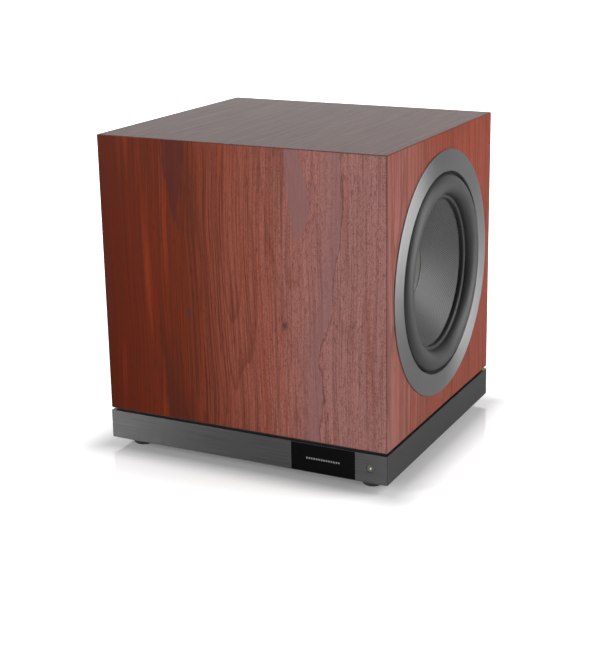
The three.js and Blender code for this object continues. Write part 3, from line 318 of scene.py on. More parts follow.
def veneer_finish():
    """Rosewood-like veneer under satin lacquer, with fibreboard where the boards are cut inside."""
    made, tree, shader = new_material("rosewood_veneer")
    spot = add_node(tree, "SeparateXYZ", {0: add_node(tree, "TexCoord").outputs["Object"]})
    x, y, z = spot.outputs
    is_top, is_side, is_front, arris = leaf_of(tree)
    leaf_seed = calc(tree, "MULTIPLY_ADD", is_side, 1.7, calc(
        tree, "MULTIPLY_ADD", is_top, 3.4, calc(tree, "MULTIPLY", is_front, 5.2)))
    # in metres, side runs across the grain and long runs with it
    side = choose(tree, is_side, x, y)
    long = choose(tree, is_top, z, y)

    def figure(across_scale, along_scale, detail=2.0, rough=0.5, distortion=0.0, at=side):
        """Noise from 0 to 1, with across_scale and along_scale lumps a metre."""
        place = add_node(tree, "CombineXYZ", {0: calc(tree, "MULTIPLY", at, across_scale),
                                              1: calc(tree, "MULTIPLY", long, along_scale),
                                              2: leaf_seed}).outputs[0]
        return add_node(tree, "TexNoise", {"Vector": place, "Scale": 1.0, "Detail": detail,
                                           "Roughness": rough, "Distortion": distortion}).outputs[0]

    sway = calc(tree, "MULTIPLY_ADD", figure(7, 5, 1.0), SWAY, side)
    broad = figure(14, 1.6, at=sway)
    streak = figure(420, 7, 4.0, 0.6, at=sway)
    fine = figure(1500, 26, at=sway)
    # growth rings: soft on one side and crisp on the other
    ring = calc(tree, "FRACT", calc(tree, "MULTIPLY", figure(16, 1.3, 1.0, at=sway), RINGS))
    ring = ramp(tree, ring, [(0.0, 0.0), (0.72, 0.25), (0.93, 1.0), (0.99, 0.0)])
    line = ramp(tree, figure(260, 1.1, 1.0, at=sway), [(0.44, 0.0), (0.5, 1.0), (0.56, 0.0)])
    bright = ramp(tree, figure(60, 3, at=sway), [(0.55, 0.0), (0.72, 0.5)])
    pores = ramp(tree, figure(760, 60, 2.0, 0.6, at=sway), [(0.6, 0.0), (0.7, 0.5)])
    curls = ramp(tree, figure(600, 200, 2.0, 0.55, 1.8, at=sway), [(0.5, 0.0), (0.61, 0.46)])

    # the way across the front from its left, and down it from its top
    u, v = share(tree, x, LOW.x, HIGH.x), share(tree, z, HIGH.z, LOW.z)
    colour = leaf_tones(tree, broad, share(tree, y, LOW.y, HIGH.y), u, is_top, is_front)
    # the stripes are strong at the left of the front, and faint at its right
    strong = choose(tree, is_front, 0.8, ramp(tree, u, [(0.45, 1.0), (0.72, 0.48)]))
    for stripe, tint in ((ramp(tree, broad, [(0.42, 0.0), (0.7, 0.45)]), WOOD_BROWN),
                         (ramp(tree, streak, [(0.46, 0.0), (0.68, 0.7)]), WOOD_BROWN),
                         (calc(tree, "MULTIPLY", ring, 0.45), WOOD_BROWN),
                         (calc(tree, "MULTIPLY", bright, choose(tree, is_top, 1.0, 0.1)), WOOD_BRIGHT),
                         (calc(tree, "MULTIPLY", line, 0.45), WOOD_DARK)):
        colour = mix(tree, calc(tree, "MULTIPLY", stripe, strong), colour, tint)
    on_top = calc(tree, "MULTIPLY", is_top, ramp(tree, streak, [(0.4, 0.0), (0.62, 0.5)]))
    colour = mix(tree, on_top, colour, WOOD_DULL)
    colour = mix(tree, pores, colour, WOOD_DARK)
    # curly marks cover the right half of the front, and the top
    right_half = calc(tree, "MULTIPLY", is_front, ramp(tree, u, [(0.35, 0.2), (0.6, 1.0)]))
    curls = calc(tree, "MULTIPLY", curls, choose(tree, is_top, right_half, 0.9))
    colour = mix(tree, curls, colour, WOOD_BROWN)

    # the marks' edges are ragged, coarsely and finely
    ragged = calc(tree, "MULTIPLY_ADD", figure(260, 40, 3.0), 0.018, calc(
        tree, "MULTIPLY_ADD", figure(60, 22, 1.0), 0.03, calc(tree, "SUBTRACT", u, 0.024)))
    for mask, strength, tint in front_marks(tree, ragged, v):
        only_front = calc(tree, "MULTIPLY", calc(tree, "MULTIPLY", mask, is_front), strength)
        colour = mix(tree, only_front, colour, tint)

    colour = mix(tree, calc(tree, "MULTIPLY", fine, 0.3), colour, WOOD_BROWN)
    # the cut edge of the leaves shows as a dark line along each arris
    colour = mix(tree, calc(tree, "MULTIPLY", arris, 0.45), colour, WOOD_DARK)
    inside = within_skin(tree, spot)
    tree.links.new(mix(tree, inside, colour, BOARD_COLOUR), shader.inputs["Base Color"])
    shader.inputs["IOR"].default_value = 1.12
    rough = calc(tree, "MULTIPLY_ADD", fine, 0.1, choose(tree, inside, 0.34, 0.8))
    tree.links.new(rough, shader.inputs["Roughness"])
    relief = calc(tree, "SUBTRACT", calc(tree, "MULTIPLY", fine, 0.3), calc(tree, "ADD", pores, curls))
    bump = add_node(tree, "Bump", {"Height": relief, "Strength": 0.25, "Distance": 0.0001})
    tree.links.new(bump.outputs[0], shader.inputs["Normal"])
    return made


def refinish(node, made):
    """Gives a CAD node its material."""
    node_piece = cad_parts[node]
    node_piece.data.materials.clear()
    node_piece.data.materials.append(made)
    return node_piece


refinish("cabinet_shell", veneer_finish())


# ---- Cabinet brace: a fibreboard panel glued upright between the two drive units. It ties the front,
# top and bottom boards together, and two round windows let the air through.
def plain_finish(name, colour, roughness, metallic=0.0, grain=0.0, grain_size=0.001, tone=0.08):
    """A moulded, cast or painted surface with a fine unevenness in its colour, gloss and relief."""
    made, tree, shader = new_material(name)
    place = add_node(tree, "TexCoord").outputs["Object"]
    specks = add_node(tree, "TexNoise", {"Vector": place, "Scale": 1 / grain_size, "Detail": 3.0})
    drift = add_node(tree, "TexNoise", {"Vector": place, "Scale": 14.0, "Detail": 2.0}).outputs[0]
    tree.links.new(calc(tree, "MULTIPLY_ADD", specks.outputs[0], 0.16, roughness - 0.08),
                   shader.inputs["Roughness"])
    darker = tuple(c * (1 - 2 * tone) for c in colour)
    lighter = tuple(min(1.0, c * (1 + 2 * tone)) for c in colour)
    tree.links.new(ramp(tree, drift, [(0.3, darker), (0.7, lighter)]), shader.inputs["Base Color"])
    shader.inputs["Metallic"].default_value = metallic
    if grain:
        bump = add_node(tree, "Bump", {"Height": specks.outputs[0], "Strength": grain,
                                       "Distance": grain_size * 0.3})
        tree.links.new(bump.outputs[0], shader.inputs["Normal"])
    return made


refinish("cabinet_brace", plain_finish("fibreboard", BOARD_COLOUR, 0.85, grain=0.3))

# ---- Plinth core: a solid board under the cabinet, cut out behind the window and the button, and
# painted black. It carries the cladding, the controls and the feet.
refinish("plinth_core", plain_finish("black_painted_board", (0.012, 0.012, 0.012), 0.6, grain=0.2))

# ---- Shadow gasket: a band of black sponge rubber, cut from sheet, that the cabinet rests on. It is
# set back from the cabinet and the plinth, so that it shows as a dark line.
gasket_finish = plain_finish("black_sponge_rubber", (0.008, 0.008, 0.008), 0.8, grain=0.3)
refinish("shadow_gasket", gasket_finish)

# ---- Plinth cladding: four strips of extruded aluminium, mitred at the corners, brushed along their
# length and anodised dark grey.
BRUSHED_GREY = (0.088, 0.088, 0.09)
STRIP_EDGE = 0.0003


def eased_node(node, made, width, segments=3):
    """A CAD node with its material, and its edges rounded to that width in metres."""
    node_piece = refinish(node, made)
    weld = node_piece.modifiers.new("weld", "WELD")
    weld.merge_threshold = 1e-6
    bevel = node_piece.modifiers.new("edge", "BEVEL")
    bevel.width = width
    bevel.segments = segments
    bevel.limit_method = "ANGLE"
    bevel.angle_limit = math.radians(40)


def brushed_finish(name, colour, roughness, lengthwise="X"):
    """Metal brushed along X or Y: lines that are fine across the brushing and long with it."""
    made, tree, shader = new_material(name)
    place = add_node(tree, "TexCoord").outputs["Object"]
    scale = (9, 400, 3400) if lengthwise == "X" else (400, 9, 3400)
    lines = add_node(tree, "TexNoise", {"Vector": add_node(
        tree, "Mapping", {"Vector": place, "Scale": scale}).outputs[0], "Scale": 1.0, "Detail": 3.0,
        "Roughness": 0.6}).outputs[0]
    tree.links.new(calc(tree, "MULTIPLY_ADD", lines, 0.26, roughness - 0.13), shader.inputs["Roughness"])
    darker, lighter = (tuple(c * k for c in colour) for k in (0.72, 1.28))
    tree.links.new(ramp(tree, lines, [(0.3, darker), (0.7, lighter)]), shader.inputs["Base Color"])
    shader.inputs["Metallic"].default_value = 1.0
    shader.inputs["Anisotropic"].default_value = 0.85
    tree.links.new(add_node(tree, "CombineXYZ", {2: 1.0}).outputs[0], shader.inputs["Tangent"])
    bump = add_node(tree, "Bump", {"Height": lines, "Strength": 0.35, "Distance": 0.00006})
    tree.links.new(bump.outputs[0], shader.inputs["Normal"])
    return made


brushed_front = brushed_finish("brushed_anodised_front", BRUSHED_GREY, 0.42)
brushed_side = brushed_finish("brushed_anodised_side", BRUSHED_GREY, 0.42, "Y")
eased_node("plinth_front", brushed_front, STRIP_EDGE)
eased_node("plinth_rear", brushed_front, STRIP_EDGE)
eased_node("plinth_right", brushed_side, STRIP_EDGE)
eased_node("plinth_left", brushed_side, STRIP_EDGE)


# ---- Feet: four pads of moulded black rubber, each with a recess underneath. A plated steel screw in
# the recess holds the pad to the plinth's core.
def grid_mesh(name, points, made, smooth_below=35.0):
    """A closed mesh from a grid of points, rows x columns x 3, that wraps round both ways. Its UV map
    runs from 0 to 1 over the rows and over the columns. Points that meet at a pole are joined, and
    edges sharper than smooth_below degrees stay sharp."""
    rows, columns = points.shape[:2]
    i, j = (k.ravel() for k in np.meshgrid(np.arange(rows), np.arange(columns), indexing="ij"))
    row = np.stack([i, i + 1, i + 1, i], axis=1)
    column = np.stack([j, j, j + 1, j + 1], axis=1)
    mesh = bpy.data.meshes.new(name)
    faces = (row % rows) * columns + column % columns
    mesh.from_pydata(points.reshape(-1, 3).tolist(), [], faces.tolist())
    layer = mesh.uv_layers.new(name="turn")
    layer.data.foreach_set("uv", np.stack([row / rows, column / columns], axis=2).ravel())
    work = bmesh.new()
    work.from_mesh(mesh)
    bmesh.ops.remove_doubles(work, verts=work.verts, dist=1e-7)
    bmesh.ops.dissolve_degenerate(work, edges=work.edges, dist=1e-8)
    bmesh.ops.recalc_face_normals(work, faces=work.faces)
    work.to_mesh(mesh)
    work.free()
    mesh.shade_smooth()
    mesh.set_sharp_from_angle(angle=math.radians(smooth_below))
    mesh.materials.append(made)
    return mesh


def eased(profile, radius, steps=4):
    """A closed profile with each corner that is off the axis turned into a small curve, which is
    (1 - t) squared * start + 2 t (1 - t) * corner + t squared * end."""
    t = np.linspace(0, 1, steps + 1)[:, None]
    points = np.array(profile, float)
    rounded = []
    for before, corner, after in zip(np.roll(points, 1, 0), points, np.roll(points, -1, 0)):
        to_before, to_after = before - corner, after - corner
        room = min(radius, 0.45 * np.linalg.norm(to_before), 0.45 * np.linalg.norm(to_after))
        if corner[0] < 1e-6 or room < 1e-7:
            rounded.append(corner)
            continue
        start = corner + to_before / np.linalg.norm(to_before) * room
        end = corner + to_after / np.linalg.norm(to_after) * room
        rounded.extend((1 - t) ** 2 * start + 2 * t * (1 - t) * corner + t * t * end)
    return np.array(rounded)


def turned(profile, origin, axis, steps=96):
    """A profile of (radius, place along the axis), in metres, turned about an axis through origin:
    point = origin + place * axis + radius * (cos(angle) * first + sin(angle) * second)."""
    axis = np.array(axis, float)
    first = np.array([0.0, 0.0, 1.0]) if abs(axis[2]) < 0.5 else np.array([1.0, 0.0, 0.0])
    second = np.cross(axis, first)
    angle = np.linspace(0, 2 * np.pi, steps, endpoint=False)[:, None, None]
    radius, place = np.asarray(profile).T
    out = np.cos(angle) * first + np.sin(angle) * second
    return np.array(origin) + place[None, :, None] * axis + radius[None, :, None] * out


def stand_in(mesh, slot, *nodes):
    """A new piece in place of CAD nodes, which it hides. The slot it is given is not used."""
    made = show(bpy.data.objects.new(mesh.name, mesh))
    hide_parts(*nodes)
    return made


foot_finish = plain_finish("black_rubber", (0.014, 0.014, 0.014), 0.6, grain=0.35, grain_size=0.0006)
steel_finish = plain_finish("plated_steel", (0.5, 0.5, 0.5), 0.3, 1.0)
FOOT = [(0.0061, 0), (0.0112, 0), (0.0133, 0.002), (0.0135, 0.005), (0.0135, 0.0092), (0.0125, 0.01),
        (0.0125, 0.012), (0.0033, 0.012), (0.0033, 0.0065), (0.0061, 0.0065)]
for corner in ("front_left", "front_right", "rear_left", "rear_right"):
    low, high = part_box("foot_" + corner)
    middle = ((low.x + high.x) / 2, (low.y + high.y) / 2, 0)
    foot = stand_in(grid_mesh("rubber_foot_" + corner, turned(eased(FOOT, 0.0008), middle, (0, 0, 1), 64),
                              foot_finish), "rubber", "foot_" + corner)
    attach(foot, "cabinet")
    refinish("foot_screw_" + corner, steel_finish)

# ---- Display: a black acrylic window let into the front strip, over a small display that shows a
# level as a row of short dashes.
DASHES, DASH_PITCH, DASH_WIDTH, DASH_HEIGHT = 14, 0.0034, 0.0016, 0.0024


def window_finish():
    """Black acrylic over a row of pale dashes, level across the window's middle."""
    made, tree, shader = new_material("black_acrylic")
    low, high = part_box("display_window")
    spot = add_node(tree, "SeparateXYZ", {0: add_node(tree, "TexCoord").outputs["Object"]})
    x, _, z = spot.outputs
    start = (low.x + high.x) / 2 - DASHES * DASH_PITCH / 2
    count = calc(tree, "DIVIDE", calc(tree, "SUBTRACT", x, start), DASH_PITCH)
    in_row = between(tree, count, 0.0, float(DASHES), 1e-4, 1e-4)
    off = calc(tree, "ABSOLUTE", calc(tree, "SUBTRACT", calc(tree, "FRACT", count), 0.5))
    in_dash = calc(tree, "LESS_THAN", off, DASH_WIDTH / DASH_PITCH / 2)
    up_off = calc(tree, "ABSOLUTE", calc(tree, "SUBTRACT", z, (low.z + high.z) / 2))
    in_height = calc(tree, "LESS_THAN", up_off, DASH_HEIGHT / 2)
    lit = calc(tree, "MULTIPLY", in_row, calc(tree, "MULTIPLY", in_dash, in_height))
    tree.links.new(mix(tree, lit, (0.0035, 0.0035, 0.004), (0.3, 0.3, 0.3)), shader.inputs["Base Color"])
    smear = add_node(tree, "TexNoise", {"Vector": add_node(tree, "TexCoord").outputs["Object"],
                                        "Scale": 60.0, "Detail": 4.0}).outputs[0]
    tree.links.new(calc(tree, "MULTIPLY_ADD", smear, 0.08, 0.08), shader.inputs["Roughness"])
    shader.inputs["IOR"].default_value = 1.12
    return made


eased_node("display_window", window_finish(), 0.0002)
refinish("display_module", plain_finish("black_plastic", (0.014, 0.014, 0.014), 0.4, grain=0.2))

# ---- Power button: a turned aluminium cap with a fine chamfer, in a hole that leaves a thin ring of
# shadow. A small light pipe stands in its centre and glows yellow-green, and a circuit board behind
# the strip carries its switch.
low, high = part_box("power_button")
BUTTON_MIDDLE = ((low.x + high.x) / 2, low.y, (low.z + high.z) / 2)
BUTTON = [(0.00125, 0.0002), (0.0014, 0), (0.0045, 0), (0.0049, 0.0004), (0.0049, 0.0043), (0.0065, 0.0043),
          (0.0065, 0.0053), (0.0025, 0.0053), (0.0025, 0.0093), (0.00125, 0.0093)]
LENS_PIPE = [(0, 0.00015), (0.0006, 0.0002), (0.00095, 0.0005), (0.001, 0.0008), (0.001, 0.0083), (0, 0.0083)]


def turned_metal_finish(name, colour, roughness, middle, axis, anisotropy):
    """Metal cut on a lathe: fine rings about an axis through middle, with gloss stretched across them."""
    made, tree, shader = new_material(name)
    away = add_node(tree, "VectorMath", {0: add_node(tree, "TexCoord").outputs["Object"], 1: middle},
                    operation="SUBTRACT").outputs[0]
    flat = add_node(tree, "VectorMath", {0: away, 1: tuple(1.0 - abs(a) for a in axis)},
                    operation="MULTIPLY").outputs[0]
    radius = add_node(tree, "VectorMath", {0: flat}, operation="LENGTH").outputs["Value"]
    rings = add_node(tree, "TexNoise", {"W": calc(tree, "MULTIPLY", radius, 3600.0), "Scale": 1.0,
                                        "Detail": 3.0}, noise_dimensions="1D").outputs[0]
    tree.links.new(calc(tree, "MULTIPLY_ADD", rings, 0.2, roughness - 0.1), shader.inputs["Roughness"])
    darker, lighter = (tuple(c * k for c in colour) for k in (0.85, 1.15))
    tree.links.new(ramp(tree, rings, [(0.3, darker), (0.7, lighter)]), shader.inputs["Base Color"])
    shader.inputs["Metallic"].default_value = 1.0
    shader.inputs["Anisotropic"].default_value = anisotropy
    shader.inputs["Anisotropic Rotation"].default_value = 0.25
    lay = add_node(tree, "Tangent", direction_type="UV_MAP", uv_map="turn").outputs[0]
    tree.links.new(lay, shader.inputs["Tangent"])
    bump = add_node(tree, "Bump", {"Height": rings, "Strength": 0.2, "Distance": 0.00004})
    tree.links.new(bump.outputs[0], shader.inputs["Normal"])
    return made


button_finish = turned_metal_finish("turned_anodised_button", (0.13, 0.13, 0.135), 0.35, BUTTON_MIDDLE,
                                    (0, 1, 0), 0.5)
button = stand_in(grid_mesh("turned_power_button", turned(eased(BUTTON, 0.00012, 2), BUTTON_MIDDLE,
                                                          (0, 1, 0), 96), button_finish),
                  "fascia", "power_button")
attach(button, "button")

lens_finish, tree, shader = new_material("lit_lens")
shader.inputs["Base Color"].default_value = (0.5, 0.6, 0.1, 1)
glow = add_node(tree, "TexNoise", {"Vector": add_node(tree, "TexCoord").outputs["Object"],
                                   "Scale": 1500.0}).outputs[0]
tree.links.new(ramp(tree, glow, [(0.2, (0.5, 0.62, 0.08)), (0.8, (0.7, 0.8, 0.16))]),
               shader.inputs["Emission Color"])
shader.inputs["Emission Strength"].default_value = 0.9
shader.inputs["Roughness"].default_value = 0.2
lens = stand_in(grid_mesh("light_pipe", turned(LENS_PIPE, BUTTON_MIDDLE, (0, 1, 0), 32), lens_finish),
                "lens", "status_lens")
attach(lens, "button")
circuit_finish = plain_finish("circuit_board", (0.01, 0.07, 0.03), 0.5, grain=0.2)
refinish("control_board", circuit_finish)

# ---- Trim rings: flat rings of dark aluminium, faced on a lathe, that hide the screws of the two drive
# units' frames. The units are alike, and stand back to back. Their sizes are radii from the axis, and
# places along it from the cabinet's side, minus being inwards.
SIDES = (("right", 1, HIGH.x), ("left", -1, LOW.x))
RING = [(0.16, 0.0003), (0.16, 0.0011), (0.1596, 0.0015), (0.1324, 0.0015), (0.132, 0.0011),
        (0.132, -0.0063), (0.134, -0.0063), (0.1355, -0.002), (0.149, -0.002), (0.149, 0.0003)]


def on_axis(profile, sign, face, steps):
    """A profile turned about the drive unit's axis in one side of the cabinet."""
    return turned(profile, (face, 0, AXIS_HEIGHT), (sign, 0, 0), steps)


for name, sign, face in SIDES:
    ring_finish = turned_metal_finish("turned_dark_aluminium_" + name, (0.22, 0.22, 0.222), 0.5,
                                      (face, 0, AXIS_HEIGHT), (1, 0, 0), 0.75)
    ring = stand_in(grid_mesh("turned_trim_ring_" + name, on_axis(eased(RING, 0.00015, 2), sign, face, 256),
                              ring_finish), "ring", "trim_ring_" + name)
    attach(ring, "cabinet")

# ---- Surrounds: a half roll of moulded black rubber between the frame and the cone, with a flat flange
# at each edge. The inner flange turns down into the groove at the cone's edge.
ROLL_MIDDLE, ROLL_HALF, ROLL_RISE, ROLL_FOOT, ROLL_WALL = 0.11525, 0.01425, 0.0138, -0.0071, 0.0012
ROLL_TRIM = 0.06
FLANGE = -0.0066
FRAME_EDGE = 0.141


def walled(line, wall):
    """A closed profile: an open line of (radius, place), and the same line set back by wall."""
    line = np.array(line, float)
    way = np.gradient(line, axis=0)
    way /= np.linalg.norm(way, axis=1)[:, None]
    behind = line + wall * np.stack([-way[:, 1], way[:, 0]], axis=1)
    return np.concatenate([line, behind[::-1]])


def smoothed(points, count):
    """count points evenly spaced along a smooth curve through points. From b to c, between a and d, it is
    (2 b + (c - a) t + (2 a - 5 b + 4 c - d) t squared + (3 b - a - 3 c + d) t cubed) / 2."""
    knots = np.array(points, float)
    knots = np.concatenate([[2 * knots[0] - knots[1]], knots, [2 * knots[-1] - knots[-2]]])
    a, b, c, d = (knots[k:len(knots) - 3 + k, None] for k in range(4))
    t = np.linspace(0, 1, 24, endpoint=False)[:, None]
    spans = 0.5 * (2 * b + (c - a) * t + (2 * a - 5 * b + 4 * c - d) * t * t
                   + (3 * b - a - 3 * c + d) * t ** 3)
    fine = np.concatenate([spans.reshape(-1, 2), knots[-2:-1]])
    length = np.concatenate([[0], np.cumsum(np.linalg.norm(np.diff(fine, axis=0), axis=1))])
    want = np.linspace(0, length[-1], count)
    return np.stack([np.interp(want, length, fine[:, k]) for k in (0, 1)], axis=1)


def roll_line():
    """Outer flange, half roll, inner flange: place = foot + rise * sin(angle) over the roll."""
    angle = np.linspace(ROLL_TRIM, math.pi - ROLL_TRIM, 33)
    arch = np.stack([ROLL_MIDDLE + ROLL_HALF * np.cos(angle), ROLL_FOOT + ROLL_RISE * np.sin(angle)], 1)
    outer = [(FRAME_EDGE, FLANGE), (0.1335, FLANGE), (0.1305, FLANGE)]
    inner = [(0.1, FLANGE - 0.0002), (0.0985, FLANGE), (0.0971, FLANGE - 0.0006), (0.0964, -0.009),
             (0.0962, -0.0108)]
    return smoothed([*outer, *arch, *inner], 110)


def roll_share(radius):
    """0 at the roll's outer edge and 1 at its inner edge, easing in and out."""
    along = np.clip((ROLL_MIDDLE + ROLL_HALF - radius) / (2 * ROLL_HALF), 0, 1)
    return along * along * (3 - 2 * along)


def follow_all_round(soft, share_at):
    """Works out how far each point of a ring would follow the cone, share_at(its radius), all the way round
    the axis, but moves no point.
    """
    where = np.empty(3 * len(soft.data.vertices))
    soft.data.vertices.foreach_get("co", where)
    where = where.reshape(-1, 3) - (0, 0, AXIS_HEIGHT)
    followed = share_at(np.hypot(where[:, 1], where[:, 2]))


surround_finish = plain_finish("moulded_rubber", (0.026, 0.026, 0.027), 0.5, grain=0.2,
                               grain_size=0.0005, tone=0.05)
for name, sign, face in SIDES:
    profile = walled(roll_line(), ROLL_WALL)
    surround = stand_in(grid_mesh("rubber_surround_" + name, on_axis(profile, sign, face, 256),
                                  surround_finish, smooth_below=50.0), "rubber", "surround_" + name)
    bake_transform(surround)
    follow_all_round(surround, roll_share)

# ---- Cones: a shallow bowl pressed from woven carbon cloth in resin, with a plain edge under the
# surround and a narrow groove between the two.
CONE_OUTER, CONE_INNER, CONE_TOP, CONE_DROP, CONE_BOWL = 0.0953, 0.0327, -0.0115, 0.0444, 0.28
BOWL_EDGE, CONE_WALL = 0.0934, 0.001
GROOVE = [(0.1005, -0.0092), (0.0976, -0.0092), (0.097, -0.0128), (0.0946, -0.0142), (0.0939, -0.0128)]
TOW = 0.00145


def cone_place(radius):
    """place = top - drop * s * (1 + bowl - bowl * s), where s runs from 0 at the edge to 1 at the coil."""
    s = (CONE_OUTER - radius) / (CONE_OUTER - CONE_INNER)
    return CONE_TOP - CONE_DROP * s * (1 + CONE_BOWL - CONE_BOWL * s)


def cone_line():
    """The groove round the cone's edge, then the bowl in to the coil."""
    radii = np.linspace(BOWL_EDGE, CONE_INNER, 48)
    return np.concatenate([GROOVE, np.stack([radii, cone_place(radii)], axis=1)])


def carbon_finish():
    """A plain weave of flat tows, seen square to the cone's axis. In every other square the tow that
    runs across lies on top, and in the rest the upright one; each is highest along its middle."""
    made, tree, shader = new_material("woven_carbon")
    spot = add_node(tree, "SeparateXYZ", {0: add_node(tree, "TexCoord").outputs["Object"]})
    _, y, z = spot.outputs
    a, b = calc(tree, "DIVIDE", y, TOW), calc(tree, "DIVIDE", z, TOW)
    odd = calc(tree, "FLOORED_MODULO", calc(tree, "ADD", calc(tree, "FLOOR", a),
                                            calc(tree, "FLOOR", b)), 2.0)
    hump_a, hump_b = (calc(tree, "SINE", calc(tree, "MULTIPLY", calc(tree, "FRACT", c), math.pi))
                      for c in (a, b))
    height = choose(tree, odd, hump_b, hump_a)
    threads = add_node(tree, "TexNoise", {"Vector": add_node(
        tree, "TexCoord").outputs["Object"], "Scale": 5200.0, "Detail": 2.0}).outputs[0]
    # the tows are paler along their crowns and darkest at their edges, the across ones most: a painted sheen
    # and shade of the weave
    across_tow_sheen = ramp(tree, hump_b, [(0.1, 0.007), (0.9, 0.15)])
    upright_tow_sheen = ramp(tree, hump_a, [(0.1, 0.008), (0.9, 0.05)])
    colour = mix(tree, odd, across_tow_sheen, upright_tow_sheen)
    colour = mix(tree, 0.35, colour, ramp(tree, threads, [(0.3, 0.02), (0.7, 0.12)]))
    tree.links.new(colour, shader.inputs["Base Color"])
    shader.inputs["Metallic"].default_value = 0.25
    shader.inputs["Roughness"].default_value = 0.5
    shader.inputs["Coat Weight"].default_value = 0.1
    shader.inputs["Coat Roughness"].default_value = 0.35
    bump = add_node(tree, "Bump", {"Height": height, "Strength": 0.6, "Distance": 0.00012})
    tree.links.new(bump.outputs[0], shader.inputs["Normal"])
    return made


cone_finish = carbon_finish()
for name, sign, face in SIDES:
    profile = walled(cone_line(), CONE_WALL)
    cone = stand_in(grid_mesh("woven_cone_" + name, on_axis(profile, sign, face, 224), cone_finish),
                    "cone", "cone_" + name)
    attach(cone, name + "_diaphragm")

# ---- Centre caps: a smooth satin dome moulded from dark grey resin, with a rounded bead at its rim. It
# is glued into the cone, and keeps dust out of the coil.
CAP_RADIUS, CAP_RISE, CAP_WALL, CAP_LIFT = 0.044, 0.007, 0.0009, 0.0006
DOME_RADIUS, DOME_EDGE, DOME_SINK, HOLLOW = 0.0425, 0.0418, 0.0004, 0.9
BEAD_START, BEAD_RADIUS, BEAD_RISE = 0.0424, 0.0008, 0.0013


def cap_line():
    """Over the dome, round the bead and back underneath. The dome is rise * (1 - (radius / dome radius)
    squared) above its seat, and the bead is start + radius * (1 - cos(angle)) out and
    rise * sin(angle) up."""
    seat = cone_place(CAP_RADIUS) + CAP_LIFT + CAP_WALL
    radii = np.linspace(0.0, DOME_EDGE, 26)
    dome = [radii, seat + CAP_RISE * (1 - (radii / DOME_RADIUS) ** 2) - DOME_SINK]
    angle = np.linspace(0.4, math.pi, 10)
    bead = [BEAD_START + BEAD_RADIUS * (1 - np.cos(angle)), seat + BEAD_RISE * np.sin(angle)]
    radii = np.linspace(DOME_RADIUS, 0.0, 12)
    under = [radii, seat - CAP_WALL + HOLLOW * CAP_RISE * (1 - (radii / DOME_RADIUS) ** 2)]
    return np.concatenate([dome, bead, under], axis=1).T


cap_finish = plain_finish("satin_moulded_cap", (0.1, 0.098, 0.092), 0.36, grain=0.05, grain_size=0.0005)
for name, sign, face in SIDES:
    cap = stand_in(grid_mesh("centre_cap_" + name, on_axis(cap_line(), sign, face, 160), cap_finish),
                   "cone", "dust_cap_" + name)
    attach(cap, name + "_diaphragm")

# ---- Spiders: a disc of cotton cloth, stiffened with amber resin and pressed into rings of waves. The
# frame holds its rim and the coil its neck, so that it keeps the coil centred.
SPIDER_SEAT, SPIDER_INNER, SPIDER_OUTER, SPIDER_WALL = -0.067, 0.0335, 0.086, 0.0008
SPIDER_WAVE, SPIDER_PITCH = 0.0026, 0.0098
SPIDER_NECK, SPIDER_RIM, SPIDER_HOLD, WAVE_FADE = 0.004, 0.007, 0.005, 0.003
THREAD_PITCH = 0.0009


def cloth_finish():
    """Plain-woven cotton, stiffened with amber resin."""
    made, tree, shader = new_material("resin_cloth")
    place = add_node(tree, "TexCoord").outputs["Object"]
    spot = add_node(tree, "SeparateXYZ", {0: place})
    rows = [calc(tree, "SINE", calc(tree, "MULTIPLY", c, 2 * math.pi / THREAD_PITCH))
            for c in spot.outputs[1:]]
    weave = calc(tree, "MULTIPLY", *rows)
    tree.links.new(ramp(tree, calc(tree, "MULTIPLY_ADD", weave, 0.5, 0.5),
                        [(0.1, (0.2, 0.12, 0.035)), (0.9, (0.52, 0.36, 0.13))]), shader.inputs["Base Color"])
    shader.inputs["Roughness"].default_value = 0.85
    bump = add_node(tree, "Bump", {"Height": weave, "Strength": 0.5, "Distance": 0.0001})
    tree.links.new(bump.outputs[0], shader.inputs["Normal"])
    return made


def spider_line():
    """A flat neck, waves and a flat rim: place = seat + wave * sin(2 pi * distance from the coil / pitch)."""
    radii = np.linspace(SPIDER_OUTER, SPIDER_INNER, 90)
    from_flat = np.minimum(radii - SPIDER_INNER - SPIDER_NECK, SPIDER_OUTER - SPIDER_RIM - radii)
    rise = SPIDER_WAVE * np.clip(from_flat / WAVE_FADE, 0, 1)
    return np.stack([radii, SPIDER_SEAT + rise * np.sin((radii - SPIDER_INNER) * 2 * np.pi / SPIDER_PITCH)],
                    axis=1)


def spider_share(radius):
    """0 at the rim that the frame holds, and 1 at the neck that the coil holds."""
    held, free = SPIDER_OUTER - SPIDER_RIM, SPIDER_INNER + SPIDER_HOLD
    return np.clip((held - radius) / (held - free), 0, 1)


spider_finish = cloth_finish()
for name, sign, face in SIDES:
    profile = walled(spider_line(), SPIDER_WALL)
    spider = stand_in(grid_mesh("cloth_spider_" + name, on_axis(profile, sign, face, 128), spider_finish,
                                smooth_below=60.0), "cloth", "spider_" + name)
    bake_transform(spider)
    follow_all_round(spider, spider_share)

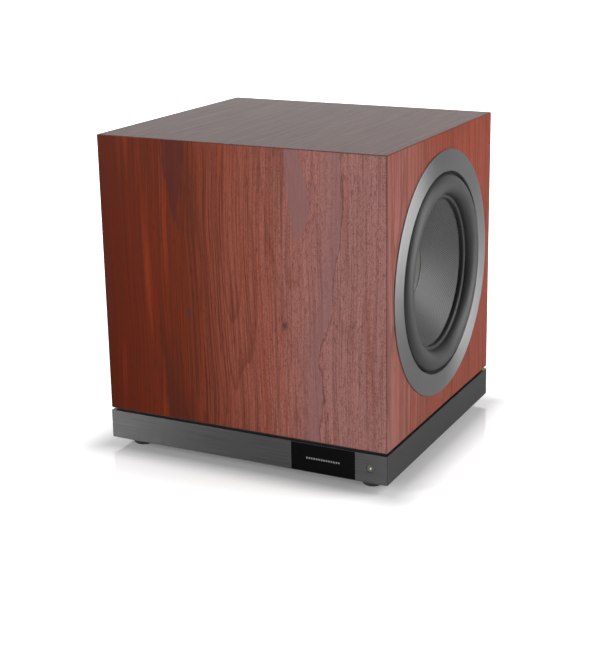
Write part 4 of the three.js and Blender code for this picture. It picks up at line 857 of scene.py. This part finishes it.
# ---- Frames, motors and coils: a powder-coated casting, plated steel plates, a ferrite ring, and a
# copper winding on its former.
cast_finish = plain_finish("powder_coat", (0.02, 0.02, 0.021), 0.5, grain=0.5, grain_size=0.0008)
ferrite_finish = plain_finish("ferrite", (0.025, 0.025, 0.027), 0.55, 0.2, grain=0.3)
copper_finish = plain_finish("enamelled_copper", (0.6, 0.23, 0.09), 0.35, 1.0, grain=0.3, grain_size=0.0004)
plastic_finish = plain_finish("black_moulding", (0.014, 0.014, 0.014), 0.42, grain=0.25, grain_size=0.0006)
for name, _, _ in SIDES:
    eased_node("basket_" + name, cast_finish, 0.0006, 2)
    refinish("frame_gasket_" + name, gasket_finish)
    refinish("voice_coil_" + name, copper_finish)
    eased_node("top_plate_" + name, steel_finish, 0.0005, 2)
    eased_node("magnet_" + name, ferrite_finish, 0.0008, 2)
    eased_node("pole_piece_" + name, steel_finish, 0.0005, 2)
    refinish("terminal_block_" + name, plastic_finish)

# ---- Amplifier: a powder-coated steel plate with eight screws, sunk in the back, with an extruded heat
# sink above and the sockets below.
plate_finish = plain_finish("black_powder_coat", (0.016, 0.016, 0.017), 0.5, 0.2, grain=0.5,
                            grain_size=0.0007)
sink_finish = plain_finish("black_anodised", (0.03, 0.03, 0.032), 0.38, 0.8, grain=0.1)
gold_finish = plain_finish("gold_plate", (0.8, 0.55, 0.2), 0.22, 1.0)
eased_node("amplifier_plate", plate_finish, 0.0003, 2)
eased_node("heat_sink", sink_finish, 0.0003, 2)
eased_node("mains_inlet", plastic_finish, 0.0003, 2)
eased_node("fuse_drawer", plastic_finish, 0.0003, 2)
eased_node("power_switch_frame", plastic_finish, 0.0004, 2)
eased_node("power_switch_rocker", plastic_finish, 0.0005, 3)
for name, _, _ in SIDES:
    eased_node("xlr_socket_" + name, plastic_finish, 0.0004, 2)
    eased_node("xlr_latch_" + name, steel_finish, 0.0003, 2)
    refinish("rca_socket_" + name, gold_finish)
refinish("trigger_socket", plastic_finish)
refinish("amplifier_board", circuit_finish)
refinish("power_supply_board", circuit_finish)
